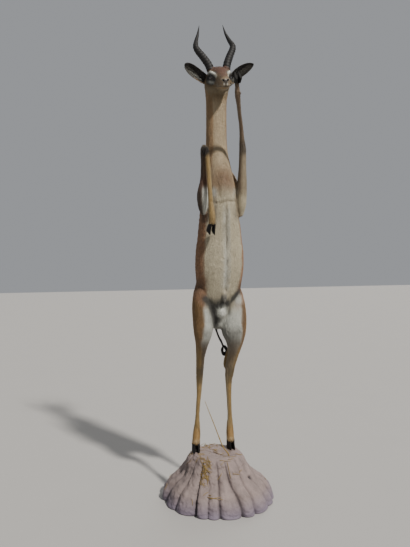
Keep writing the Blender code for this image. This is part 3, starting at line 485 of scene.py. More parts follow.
def sweep(name, line, sides=16, closed_ends=True):
    """A tube along rows of x, y, z and radius."""
    rows = np.array(line)
    centres = rows[:, :3]
    tangents = unit(np.gradient(centres, axis=0))
    side = np.cross(tangents[0], (0.3, 0.5, 0.8))
    points = []
    for centre, tangent, radius in zip(centres, tangents, rows[:, 3]):
        side = side - tangent * side.dot(tangent)
        side = side / np.linalg.norm(side)
        other = np.cross(tangent, side)
        for k in range(sides):
            angle = 2.0 * math.pi * k / sides
            points.append(centre + radius * (math.cos(angle) * side + math.sin(angle) * other))
    faces = []
    for i in range(len(rows) - 1):
        for k in range(sides):
            j = (k + 1) % sides
            faces.append((i * sides + k, i * sides + j, (i + 1) * sides + j, (i + 1) * sides + k))
    if closed_ends:
        faces.append(tuple(reversed(range(sides))))
        faces.append(tuple(range((len(rows) - 1) * sides, len(rows) * sides)))
    return mesh_from_arrays(name, points, faces)


def strands(name, roots, directions, bends, lengths, widths, colours, segments=4):
    """Closed, flat, tapered blades of hair, joined in one mesh."""
    count = len(roots)
    directions, bends = unit(directions), np.asarray(bends)
    across = unit(np.cross(directions, bends + directions[:, ::-1] * 0.01 + 1e-4))
    rise = np.cross(across, directions)
    profile = [(1.0 - (k / segments) ** 1.6) for k in range(segments)]
    rows = []
    for k in range(segments + 1):
        t = k / segments
        centre = roots + directions * (lengths * t)[:, None] + bends * (lengths * t * t)[:, None]
        if k == segments:
            rows.append(centre[:, None, :])
            continue
        half = (widths * max(profile[k], 0.12))[:, None]
        rows.append(np.stack([centre - across * half, centre + across * half,
                              centre + rise * half * 0.5], axis=1))
    points = np.concatenate(rows, axis=1)
    per = points.shape[1]
    pattern = [(0, 2, 1)]
    for k in range(segments - 1):
        a, b = 3 * k, 3 * (k + 1)
        for i in range(3):
            j = (i + 1) % 3
            pattern += [(a + i, a + j, b + j), (a + i, b + j, b + i)]
    tip = 3 * segments
    for i in range(3):
        pattern.append((3 * (segments - 1) + i, 3 * (segments - 1) + (i + 1) % 3, tip))
    faces = (np.arange(count)[:, None, None] * per + np.array(pattern)[None]).reshape(-1, 3)
    mesh = bpy.data.meshes.new(name)
    mesh.vertices.add(count * per)
    mesh.vertices.foreach_set("co", points.astype(np.float32).ravel())
    mesh.loops.add(faces.size)
    mesh.polygons.add(len(faces))
    mesh.loops.foreach_set("vertex_index", faces.astype(np.int32).ravel())
    mesh.polygons.foreach_set("loop_start", np.arange(0, faces.size, 3, dtype=np.int32))
    mesh.polygons.foreach_set("loop_total", np.full(len(faces), 3, dtype=np.int32))
    mesh.update(calc_edges=True)
    mesh.validate()
    store(mesh, "coat", "FLOAT_COLOR", np.repeat(colours, per, axis=0))
    store(mesh, "root", "FLOAT_VECTOR", np.repeat(roots, per, axis=0))
    patch = np.tile(np.stack([np.arange(per) / per, np.linspace(0.0, 1.0, per)], axis=1), (count, 1))
    store(mesh, "patch", "FLOAT_VECTOR", np.hstack([patch, np.zeros((len(patch), 1))]))
    rng = np.random.default_rng(3)
    store(mesh, "tone", "FLOAT", np.repeat(rng.random(count), per))
    return mesh


# Node trees
def node(tree, kind, inputs=None, **attributes):
    made = tree.nodes.new(kind)
    for key, value in attributes.items():
        setattr(made, key, value)
    for key, value in (inputs or {}).items():
        socket = made.inputs[key]
        if isinstance(value, bpy.types.NodeSocket):
            tree.links.new(value, socket)
        else:
            socket.default_value = value
    return made


def maths(tree, operation, first, second=0.0):
    return node(tree, "ShaderNodeMath", {0: first, 1: second}, operation=operation).outputs[0]


def attribute(tree, name, output="Fac"):
    return node(tree, "ShaderNodeAttribute", attribute_name=name).outputs[output]


def mix(tree, factor, first, second, blend="MIX"):
    made = node(tree, "ShaderNodeMix", data_type="RGBA", blend_type=blend, clamp_factor=True)
    for socket, value in ((made.inputs[0], factor), (made.inputs[6], first), (made.inputs[7], second)):
        if isinstance(value, bpy.types.NodeSocket):
            tree.links.new(value, socket)
        else:
            socket.default_value = value if isinstance(value, float) else (*value[:3], 1.0)
    return made.outputs[2]


def ramp(tree, value, stops):
    made = node(tree, "ShaderNodeValToRGB", {"Fac": value})
    elements = made.color_ramp.elements
    while len(elements) < len(stops):
        elements.new(0.5)
    for element, (place, shade) in zip(elements, stops):
        element.position = place
        element.color = (shade, shade, shade, 1.0) if isinstance(shade, float) else (*shade, 1.0)
    return made.outputs["Color"]


def new_material(name, roughness, **constants):
    """A material with its Principled shader, and that shader's constant values."""
    mat = bpy.data.materials.new(name)
    mat.use_nodes = True
    shader = mat.node_tree.nodes["Principled BSDF"]
    shader.inputs["Roughness"].default_value = roughness
    for key, value in constants.items():
        shader.inputs[key.replace("_", " ")].default_value = value
    return mat, mat.node_tree, shader


def hair_streaks_group():
    """Fine streaks along the hair, as a shade and a height, from a vector squeezed along the hair."""
    name = "hair_streaks"
    if name in bpy.data.node_groups:
        return bpy.data.node_groups[name]
    tree = bpy.data.node_groups.new(name, "ShaderNodeTree")
    interface = tree.interface
    interface.new_socket("Vector", in_out="INPUT", socket_type="NodeSocketVector")
    interface.new_socket("Shade", in_out="OUTPUT", socket_type="NodeSocketFloat")
    interface.new_socket("Height", in_out="OUTPUT", socket_type="NodeSocketFloat")
    inside = node(tree, "NodeGroupInput")
    fine = node(tree, "ShaderNodeTexNoise", {"Vector": inside.outputs[0], "Scale": 900.0,
                                             "Detail": 3.0, "Roughness": 0.6})
    broad = node(tree, "ShaderNodeTexNoise", {"Vector": inside.outputs[0], "Scale": 130.0,
                                              "Detail": 3.0, "Roughness": 0.55})
    shade = maths(tree, "ADD", maths(tree, "MULTIPLY", fine.outputs["Fac"], 0.6),
                  maths(tree, "MULTIPLY", broad.outputs["Fac"], 0.4))
    outside = node(tree, "NodeGroupOutput")
    tree.links.new(shade, outside.inputs[0])
    tree.links.new(fine.outputs["Fac"], outside.inputs[1])
    return tree


def wear_group():
    """Patchy wear, as a mask from 0 to 1, from object coordinates."""
    name = "wear"
    if name in bpy.data.node_groups:
        return bpy.data.node_groups[name]
    tree = bpy.data.node_groups.new(name, "ShaderNodeTree")
    interface = tree.interface
    interface.new_socket("Scale", in_out="INPUT", socket_type="NodeSocketFloat")
    interface.new_socket("Mask", in_out="OUTPUT", socket_type="NodeSocketFloat")
    inside = node(tree, "NodeGroupInput")
    place = node(tree, "ShaderNodeTexCoord").outputs["Object"]
    patches = node(tree, "ShaderNodeTexNoise", {"Vector": place, "Scale": inside.outputs[0],
                                                "Detail": 6.0, "Roughness": 0.62})
    mask = node(tree, "ShaderNodeMapRange", {"Value": patches.outputs["Fac"], "From Min": 0.38,
                                             "From Max": 0.66})
    outside = node(tree, "NodeGroupOutput")
    tree.links.new(mask.outputs[0], outside.inputs[0])
    return tree


def wear_mask(tree, scale):
    made = node(tree, "ShaderNodeGroup", node_tree=wear_group())
    made.inputs["Scale"].default_value = scale
    return made.outputs["Mask"]


def bump(tree, shader, height, strength, distance):
    made = node(tree, "ShaderNodeBump", {"Height": height, "Strength": strength,
                                         "Distance": distance})
    tree.links.new(made.outputs["Normal"], shader.inputs["Normal"])


def coat_material(name, streaks):
    """Hair coloured by the markings; streaks adds the fine relief of the skin below the locks."""
    if name in bpy.data.materials:
        return bpy.data.materials[name]
    mat, tree, shader = new_material(name, 0.62, Sheen_Weight=0.12, Sheen_Roughness=0.45)
    base = attribute(tree, "coat", "Color")
    lock = attribute(tree, "tone")
    lightness = maths(tree, "MULTIPLY_ADD", lock, 0.34)
    lightness.node.inputs[2].default_value = 0.80
    shaded = node(tree, "ShaderNodeVectorMath", {0: base}, operation="SCALE")
    tree.links.new(lightness, shaded.inputs["Scale"])
    result = shaded.outputs[0]
    if streaks:
        group = node(tree, "ShaderNodeGroup", node_tree=hair_streaks_group())
        tree.links.new(attribute(tree, "comb", "Vector"), group.inputs["Vector"])
        shade = node(tree, "ShaderNodeMapRange", {"Value": group.outputs["Shade"], "From Min": 0.3,
                                                  "From Max": 0.7, "To Min": 0.66, "To Max": 1.18})
        streaked = node(tree, "ShaderNodeVectorMath", {0: result}, operation="SCALE")
        tree.links.new(shade.outputs[0], streaked.inputs["Scale"])
        result = streaked.outputs[0]
        bump(tree, shader, group.outputs["Height"], 0.55, 0.0011)
        moist = attribute(tree, "moist")
        rough = node(tree, "ShaderNodeMapRange", {"Value": moist, "To Min": 0.66, "To Max": 0.26})
        tree.links.new(rough.outputs[0], shader.inputs["Roughness"])
    tree.links.new(result, shader.inputs["Base Color"])
    return mat


# Hair paths
def path_rows(points, path):
    """For each point: how far along a path its nearest place lies, its offset and the tangent."""
    line = np.array(path, dtype=float)
    steps = np.diff(line, axis=0)
    lengths = np.linalg.norm(steps, axis=1)
    starts = np.concatenate([[0.0], np.cumsum(lengths)])
    knots = unit(np.vstack([steps[:1], steps[1:] / lengths[1:, None] + steps[:-1] / lengths[:-1, None],
                            steps[-1:]]))
    best = np.full(len(points), 1e9)
    along = np.zeros(len(points))
    offset = np.zeros((len(points), 3))
    tangent = np.zeros((len(points), 3))
    for i, step in enumerate(steps):
        t = np.clip((points - line[i]) @ step / lengths[i] ** 2, 0.0, 1.0)
        gap = points - (line[i] + t[:, None] * step)
        distance = np.linalg.norm(gap, axis=1)
        nearer = distance < best
        best[nearer] = distance[nearer]
        along[nearer] = (starts[i] + t * lengths[i])[nearer]
        offset[nearer] = gap[nearer]
        tangent[nearer] = (knots[i] * (1.0 - t)[:, None] + knots[i + 1] * t[:, None])[nearer]
    return along, offset, unit(tangent)


# Skin
def lid_shell(sign):
    """A closed shell round the eyeball that narrows the opening between the lids."""
    centre, *axes = eye_frame(sign)
    bm = bmesh.new()
    loops = []
    steps = 40
    for i in range(steps):
        angle = 2.0 * math.pi * i / steps
        loop = []
        for spread, radius in ((1.0, 0.0003), (1.0, 0.0020), (1.12, 0.0032), (1.5, 0.0036),
                               (1.5, 0.0003)):
            direction = eye_direction(axes, *lid_edge(angle, spread))
            loop.append(bm.verts.new(centre + direction * (EYE_RADIUS + radius)))
        loops.append(loop)
    for i in range(steps):
        low, high = loops[i], loops[(i + 1) % steps]
        for k in range(len(low)):
            j = (k + 1) % len(low)
            bm.faces.new((low[k], low[j], high[j], high[k]))
    bmesh.ops.recalc_face_normals(bm, faces=bm.faces)
    return bm


def skin_shapes():
    """The frame's flesh, grown to close its gaps, with the lids, as one mesh of closed shapes."""
    joined = bmesh.new()
    for name in FLESH:
        bm = merged_copy(name)
        for vert in bm.verts:
            vert.co += vert.normal * SOLID_GAP
        part = mesh_from_bmesh(name + "_copy", bm)
        joined.from_mesh(part)
        bpy.data.meshes.remove(part)
    for sign in (-1.0, 1.0):
        part = mesh_from_bmesh("lids", lid_shell(sign))
        joined.from_mesh(part)
        bpy.data.meshes.remove(part)
    mesh = bpy.data.meshes.new("skin")
    joined.to_mesh(mesh)
    joined.free()
    return mesh


def region_labels(points):
    """Which flesh node each point belongs to, as numbers into FLESH."""
    sizes = []
    trees = []
    for name in FLESH:
        rows, _ = vertex_rows(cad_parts[name].data)
        rows = np.unique(np.round(rows, 5), axis=0)
        tree = KDTree(len(rows))
        for i, row in enumerate(rows):
            tree.insert(row, i)
        tree.balance()
        trees.append(tree)
        sizes.append(rows)
    labels = np.zeros(len(points), dtype=int)
    best = np.full(len(points), 1e9)
    for k, (tree, rows) in enumerate(zip(trees, sizes)):
        low, high = rows.min(axis=0) - 0.02, rows.max(axis=0) + 0.02
        inside = np.flatnonzero(np.all((points > low) & (points < high), axis=1))
        for i in inside:
            distance = tree.find(points[i])[2]
            if distance < best[i]:
                best[i] = distance
                labels[i] = k
    return labels


def eye_angles(points, sign):
    """Distance from an eye's centre, and angles off its axis, forward and up."""
    centre, outward, forward, upward = (np.array(v) for v in eye_frame(sign))
    rows = points - centre
    distance = np.linalg.norm(rows, axis=1)
    rows = rows / np.maximum(distance, 1e-9)[:, None]
    off = np.arccos(np.clip(rows @ outward, -1.0, 1.0))
    turn = np.arctan2(rows @ upward, rows @ forward)
    return distance, off, turn


def lid_share(off, turn):
    """1 on the edge of the lids, less inside and more outside."""
    along, tall = off * np.cos(turn) / LID_HALF_LONG, off * np.sin(turn) / LID_HALF_TALL
    for _ in range(4):
        reach = np.maximum(np.hypot(along, tall), 1e-6)
        tall = off * np.sin(turn) / (LID_HALF_TALL * (1.0 - 0.22 * (along / reach) ** 2))
    return np.hypot(along, tall)


MOUTH_LINE = ((0.030, 0.098, -0.0345), (0.0285, 0.118, -0.0325), (0.0265, 0.142, -0.0305),
              (0.0225, 0.166, -0.0292), (0.0125, 0.183, -0.0285), (0.0, 0.188, -0.0282))


def sculpt_head(points, normals, labels):
    """Nostrils, mouth, lip and lid folds; returns the new points and the moist mask."""
    side, fore, up = head_coordinates(points).T
    on_head = labels == FLESH.index("head")
    push = np.zeros(len(points))
    moist = np.zeros(len(points))
    mouth = np.array(MOUTH_LINE)
    seam = np.interp(fore, mouth[:, 1], mouth[:, 2])
    front = smooth(0.085, 0.11, fore)
    push -= 0.0030 * bump_at(up, seam, 0.0016) * front
    push += 0.0012 * bump_at(up, seam + 0.0055, 0.0035) * front
    push += 0.0010 * bump_at(up, seam - 0.0055, 0.0035) * front
    push -= 0.0016 * bump_at(side, 0.0, 0.0013) * smooth(0.172, 0.180, fore) * smooth(-0.028, -0.020, up) * smooth(0.010, 0.002, up)
    for sign in (-1.0, 1.0):
        across = side * sign
        hollow = np.exp(-((across - 0.0125) / 0.0040) ** 2 - ((up - 0.002 - 0.5 * (across - 0.0125)) / 0.0030) ** 2
                        - ((fore - 0.184) / 0.010) ** 2)
        push -= 0.0045 * hollow
        moist = np.maximum(moist, hollow)
        distance, off, turn = eye_angles(points, sign)
        near = smooth(0.034, 0.024, distance)
        share = lid_share(off, turn)
        push += near * 0.0009 * bump_at(share, 1.14, 0.09)
        push -= near * 0.0012 * bump_at(share, 1.42, 0.10) * smooth(-0.6, 0.4, np.sin(turn))
        push -= near * 0.0008 * bump_at(share, 1.36, 0.08) * smooth(0.4, -0.4, np.sin(turn))
        gland = np.exp(-((fore - 0.078) / 0.011) ** 2 - ((up + 0.006) / 0.006) ** 2) * smooth(0.02, 0.03, across)
        push -= 0.0030 * gland
        moist = np.maximum(moist, near * bump_at(share, 1.0, 0.08))
        jaw = np.exp(-((fore - 0.050) / 0.050) ** 2 - ((up + 0.030) / 0.008) ** 2) * smooth(0.02, 0.035, across)
        push -= 0.0012 * jaw
    pad = smooth(0.176, 0.186, fore) * smooth(-0.026, -0.018, up) * smooth(0.014, 0.006, up)
    moist = np.maximum(moist, 0.75 * pad)
    moist = np.maximum(moist, 0.5 * bump_at(up, seam, 0.002) * front)
    moved = points + normals * (push * on_head)[:, None]
    for sign in (-1.0, 1.0):
        centre = np.array(eye_frame(sign)[0])
        rows = moved - centre
        distance = np.linalg.norm(rows, axis=1)
        close = distance < EYE_RADIUS + 0.0003
        moved[close] = centre + rows[close] / distance[close, None] * (EYE_RADIUS + 0.0003)
    return moved, moist * on_head


# The crease across the breast
CREASE_HEIGHT = 1.556


def crease_wave(around):
    """How far the crease rises and falls at an angle round the trunk."""
    return 0.006 * np.sin(around / 14.0) + 0.003 * np.sin(around / 4.5 + 1.0)


def sculpt_body(points, normals):
    """Folds, tendons and the seams of the belly."""
    x, y, z = points.T
    middle = np.interp(z, *zip(*TRUNK_LINE))
    around = np.degrees(np.arctan2(x, -(y - middle)))
    push = -0.0016 * bump_at(around, 0.0, 3.0) * smooth(1.10, 1.16, z) * smooth(1.62, 1.50, z)
    push += 0.0011 * (bump_at(around, 6.0, 3.0) + bump_at(around, -6.0, 3.0)) * smooth(1.10, 1.16, z) * smooth(1.62, 1.50, z)
    crease = CREASE_HEIGHT + crease_wave(around)
    across = smooth(40.0, 22.0, np.abs(around - 4.0))
    push -= 0.0034 * bump_at(z, crease, 0.0060) * across
    push += 0.0026 * bump_at(z, crease + 0.015, 0.010) * across
    side_wall = smooth(55.0, 75.0, np.abs(around)) * smooth(150.0, 125.0, np.abs(around))
    ribs = np.sin((z + 0.0009 * np.abs(around)) * 2.0 * math.pi / 0.034)
    push += 0.0011 * ribs * side_wall * smooth(1.27, 1.34, z) * smooth(1.56, 1.48, z)
    push -= 0.0020 * bump_at(np.hypot((np.abs(x) - 0.055) / 1.6, (z - 1.035 - 0.6 * (np.abs(x) - 0.055))), 0.0, 0.010) * (y < 0.0)
    for sign, path in ((-1.0, HAIR_PATHS["hindleg_right"]), (1.0, HAIR_PATHS["hindleg_left"])):
        along, offset, _ = path_rows(points, path)
        near = (np.linalg.norm(offset, axis=1) < 0.06) & (x * sign > 0.0) & (z < 0.72)
        lateral = np.abs(offset[:, 0])
        groove = bump_at(offset[:, 1], 0.006, 0.0038) * smooth(0.004, 0.009, lateral)
        push -= 0.0018 * groove * near * smooth(0.64, 0.58, z) * smooth(0.37, 0.42, z)
    return points + normals * push[:, None]


def paint(base, shade, mask):
    mask = np.clip(mask, 0.0, 1.0)[:, None]
    return base * (1.0 - mask) + np.array(shade)[None, :] * mask


def trunk_markings(points, normals, coat):
    """Pale belly and throat, brown flanks, red-brown back, with painted shade under the arms and along the breast
    crease.
    """
    x, y, z = points.T
    middle = np.interp(z, *zip(*TRUNK_LINE))
    plain = np.degrees(np.arctan2(x, -(y - middle)))
    around = plain + 4.0 * wobble(points, 26.0)
    turned = np.abs(around)
    edge = np.interp(z, (1.0, 1.15, 1.35, 1.5, 1.62, 1.75, 2.1), (46.0, 50.0, 52.0, 48.0, 40.0, 34.0, 40.0))
    base = np.tile(np.array(coat.tan), (len(points), 1))
    low = smooth(1.66, 1.50, z)
    base = paint(base, np.array(coat.brown) * 2.3, low * 0.95)
    saddle = smooth(112.0, 138.0, turned)
    base = paint(base, coat.rufous, saddle * smooth(2.15, 1.75, z))
    base = paint(base, np.array(coat.tan) * 0.82, smooth(95.0, 130.0, turned) * smooth(1.75, 2.0, z))
    pale = smooth(edge + 3.5, edge - 2.5, turned)
    throat = np.array(coat.cream) * 0.45 + np.array(coat.tan) * 0.55
    base = paint(base, throat, pale * smooth(1.62, 1.76, z))
    grey_cream = np.array(coat.cream) * 0.80 + np.array(coat.grey) * 0.20
    base = paint(base, grey_cream, pale * smooth(1.72, 1.60, z))
    line = np.interp(z, (1.10, 1.47), (7.0, 1.5))
    beside = bump_at(plain, line + 5.5, 2.6) + bump_at(plain, line - 5.5, 2.6)
    base = paint(base, np.array(coat.white) * 1.1, 0.85 * beside * smooth(1.08, 1.14, z) * smooth(1.56, 1.48, z))
    belly_line = bump_at(plain, line, 2.7) * smooth(1.07, 1.12, z) * smooth(1.56, 1.50, z)
    base = paint(base, np.array(coat.dark) * 1.5, 0.95 * belly_line)
    under_jaw = smooth(2.06, 2.14, z) * smooth(70.0, 40.0, turned)
    base = paint(base, np.array(coat.tan) * (0.55, 0.56, 0.46), 0.85 * under_jaw)
    breast = np.exp(-(around / 30.0) ** 2 - ((z - 1.675) / 0.060) ** 2)
    base = paint(base, np.array(coat.brown) * 1.25, 0.80 * breast)
    for sign in (-1.0, 1.0):
        streak = np.exp(-((around - sign * 30.0) / 17.0) ** 2 - ((z - 1.632) / 0.036) ** 2)
        base = paint(base, np.array(coat.tan) * (1.05, 0.92, 0.80), 0.75 * streak)
        spot = np.exp(-((around - sign * 32.0) / 9.0) ** 2 - ((z - 1.610) / 0.021) ** 2)
        base = paint(base, np.array(coat.white) * 1.25, np.clip(1.2 * spot, 0.0, 0.95))
        # Painted shade under each arm
        armpit_shade = np.exp(-((x - sign * 0.062) / 0.016) ** 2 - ((z - 1.495) / 0.030) ** 2) * (y < -0.02)
        base = paint(base, coat.dark, 0.50 * armpit_shade)
        hip = np.exp(-((x - sign * 0.112) / 0.030) ** 2 - ((z - 1.120) / 0.036) ** 2) * (y < 0.03)
        base = paint(base, np.array(coat.brown) * 0.62, 0.75 * hip)
    # Painted shade along the crease across the breast
    crease_shade = bump_at(z, CREASE_HEIGHT + crease_wave(plain), 0.0045) * smooth(36.0, 22.0, np.abs(plain - 4.0))
    base = paint(base, np.array(coat.brown) * 0.9, 0.35 * crease_shade)
    rump = smooth(0.060, 0.030, np.abs(x)) * smooth(0.04, 0.07, y) * smooth(1.06, 1.00, z)
    base = paint(base, coat.white, 0.85 * rump)
    return base


# Folds between the belly and the thighs, painted dark as shade in the folds and dark skin, as places across and up
GROIN_FOLDS = ((((-0.090, 1.056), (-0.069, 1.036), (-0.050, 1.000), (-0.036, 0.955),
                 (-0.028, 0.915)), 0.018),
               (((0.090, 1.092), (0.056, 1.056), (0.030, 1.036), (0.000, 1.026), (-0.040, 1.010)),
                0.0145))


def groin_markings(base, points, coat):
    """Painted shade and dark skin: charcoal folds round the pale sheath and scrotum, and between the thighs."""
    x, y, z = points.T
    # Near black, for painted shade over dark skin in the groin
    groin_shade_and_skin = np.array(coat.grey) * 0.13
    front = smooth(0.02, -0.03, y)
    thigh_top = np.exp(-((x - 0.088) / 0.019) ** 2 - ((z - 1.050) / 0.026) ** 2)
    base = paint(base, coat.white, np.clip(1.6 * thigh_top, 0.0, 0.90) * front)
    # Painted shade over the low belly between the thighs
    lap_shade = np.exp(-((x - 0.004) / 0.046) ** 2 - ((z - 1.030) / 0.026) ** 2)
    base = paint(base, groin_shade_and_skin, np.clip(1.1 * lap_shade, 0.0, 0.75) * front)
    flat = np.stack([x, np.zeros(len(x)), z], axis=1)
    # Painted shade and dark skin along the groin folds
    for line, width in GROIN_FOLDS:
        near = near_line(flat, [(a, 0.0, b) for a, b in line], width)
        base = paint(base, groin_shade_and_skin, np.clip(1.6 * near, 0.0, 0.95) * front)
    # Painted shade between the thighs below the scrotum
    hollow = np.exp(-((x + 0.024) / 0.032) ** 2 - ((z - 0.990) / 0.054) ** 2)
    base = paint(base, groin_shade_and_skin, np.clip(1.7 * hollow, 0.0, 0.95) * front)
    scrotum = np.linalg.norm((points - np.array((0.004, -0.056, 0.985))) / (1.0, 1.2, 1.25), axis=1)
    # Painted shade and dark skin in a ring round the scrotum
    base = paint(base, groin_shade_and_skin, 0.70 * bump_at(scrotum, 0.040, 0.009) * front * smooth(0.96, 0.98, z))
    base = paint(base, np.array(coat.white) * 1.1, smooth(0.034, 0.024, scrotum))
    sheath = np.linalg.norm(points - np.array((0.004, -0.102, 1.062)), axis=1)
    return paint(base, np.array(coat.grey) * 0.75, 0.9 * smooth(0.028, 0.014, sheath))


def hind_markings(points, path, sign, coat):
    """Tan outside and white inside the thigh, ochre below the hock, with painted shade on the inner thigh, the inner
    gaskin and the front of the hock.
    """
    x, y, z = points.T
    _, offset, _ = path_rows(points, path)
    around = np.degrees(np.arctan2(sign * offset[:, 0], -offset[:, 1])) + 5.0 * wobble(points, 30.0)
    base = np.tile(np.array(coat.ochre), (len(points), 1))
    base = paint(base, np.array(coat.tan) * (0.74, 0.67, 0.50), smooth(0.74, 0.84, z))
    thigh = smooth(0.76, 0.86, z)
    edge = 13.0 if sign < 0.0 else 17.0
    white = smooth(edge + 6.0, edge - 5.0, around) * smooth(-172.0, -150.0, around)
    base = paint(base, coat.white, white * thigh)
    inner = smooth(25.0, 0.0, around) * smooth(-150.0, -110.0, around)
    inner_shade = inner * smooth(0.94, 0.86, z) * smooth(0.72, 0.78, z)
    base = paint(base, np.array(coat.grey) * 0.42, (0.45 if sign < 0.0 else 0.70) * inner_shade)
    # Painted shade: dark olive over the inner gaskin
    olive = np.array(coat.tan) * 0.15 if sign < 0.0 else np.array(coat.grey) * 0.60 + np.array(coat.tan) * 0.30
    gaskin_shade = smooth(0.60, 0.66, z) * smooth(0.86, 0.78, z) * inner
    base = paint(base, olive, (0.80 if sign < 0.0 else 0.55) * gaskin_shade)
    # Painted shade across the front of the hock
    hock_shade = smooth(0.575, 0.605, z) * smooth(0.70, 0.66, z)
    base = paint(base, np.array(coat.tan) * (0.12, 0.14, 0.12), 0.62 * hock_shade * smooth(70.0, 30.0, np.abs(around)))
    outer_edge = bump_at(around, edge + 12.0, 9.0) * thigh
    base = paint(base, np.array(coat.brown) * 0.8, (0.25 if sign < 0.0 else 0.6) * outer_edge)
    strip = bump_at(around, -62.0, 24.0) * smooth(0.66, 0.60, z) * smooth(0.33, 0.40, z)
    base = paint(base, coat.cream, 0.35 * strip)
    back_line = smooth(150.0, 172.0, np.abs(around)) * smooth(0.66, 0.60, z)
    base = paint(base, coat.brown, 0.45 * back_line)
    fetlock = smooth(0.385, 0.35, z)
    base = paint(base, np.array(coat.ochre) * (1.20, 0.98, 0.75), 0.50 * fetlock)
    base = paint(base, coat.cream, 0.25 * smooth(0.316, 0.306, z) * smooth(0.296, 0.302, z))
    return base


def fore_markings(points, path, side, coat):
    """Brown forearm with a pale inner patch, dark knee, ochre shank, and painted shade along one side of the left
    leg.
    """
    along, offset, _ = path_rows(points, path)
    length = np.linalg.norm(np.diff(np.array(path), axis=0), axis=1).sum()
    share = along / length
    x, y, z = points.T
    base = np.tile(np.array(coat.cream) * 0.34 + np.array(coat.tan) * 0.34, (len(points), 1))
    if side == "right":
        inner = smooth(-0.004, 0.010, offset[:, 0] - 0.4 * offset[:, 1])
        base = paint(base, np.array(coat.brown) * 0.40, 0.95 * smooth(0.50, 0.40, share))
        base = paint(base, np.array(coat.tan) * 0.7, 0.6 * inner * smooth(0.46, 0.36, share))
        base = paint(base, np.array(coat.white) * 1.25, inner * smooth(0.185, 0.15, share))
        base = paint(base, np.array(coat.rufous) * 1.1, 0.7 * bump_at(share, 0.20, 0.05))
        shank = smooth(0.46, 0.52, share)
        base = paint(base, np.array(coat.ochre) * (1.25, 1.28, 1.35), shank)
        base = paint(base, np.array(coat.ochre) * 0.85, 0.8 * smooth(0.90, 0.96, share))
        base = paint(base, coat.cream, 0.4 * shank * bump_at(share, 0.72, 0.16) * smooth(0.004, 0.010, offset[:, 0]))
    else:
        # Painted shade along the left leg's -X side
        base = paint(base, np.array(coat.brown) * 0.6, 0.6 * smooth(-0.004, -0.016, offset[:, 0]))
        base = paint(base, np.array(coat.brown) * 0.55, 0.5 * smooth(0.42, 0.50, share))
        base = paint(base, np.array(coat.brown) * 1.1, 0.45 * smooth(0.5, 0.62, share) * smooth(0.0, -0.008, offset[:, 1]))
        base = paint(base, coat.cream, 0.55 * smooth(0.002, 0.010, offset[:, 1] + 0.3 * offset[:, 2]) * smooth(0.55, 0.62, share))
        base = paint(base, np.array(coat.cream) * 1.05, 0.8 * smooth(0.20, 0.09, share))
    return base, share


def knee_mask(points, side):
    """The brush of dark hair on the front of each knee."""
    centre = np.array((-0.1045, -0.112, 1.814)) if side == "right" else np.array((0.094, -0.136, 1.832))
    spread = np.array((0.022, 0.024, 0.025)) if side == "right" else np.array((0.018, 0.016, 0.032))
    return np.exp(-(((points - centre) / spread) ** 2).sum(axis=1))


def near_line(points, line, width):
    """1 on a line through the given places, fading over the given width."""
    _, offset, _ = path_rows(points, line)
    return np.exp(-(np.linalg.norm(offset, axis=1) / width) ** 2)


# Marks of the head, as places out to the side, forward and up of its centre
BROW_LINE = ((0.052, 0.004, 0.021), (0.053, 0.028, 0.030), (0.044, 0.056, 0.029),
             (0.031, 0.080, 0.019), (0.026, 0.098, 0.010))
DARK_BAND = ((0.054, -0.016, -0.006), (0.060, 0.016, 0.002), (0.062, 0.043, 0.006),
             (0.048, 0.068, 0.000), (0.038, 0.086, -0.008))
UNDER_EYE = ((0.058, 0.024, -0.020), (0.055, 0.050, -0.020), (0.045, 0.074, -0.021))


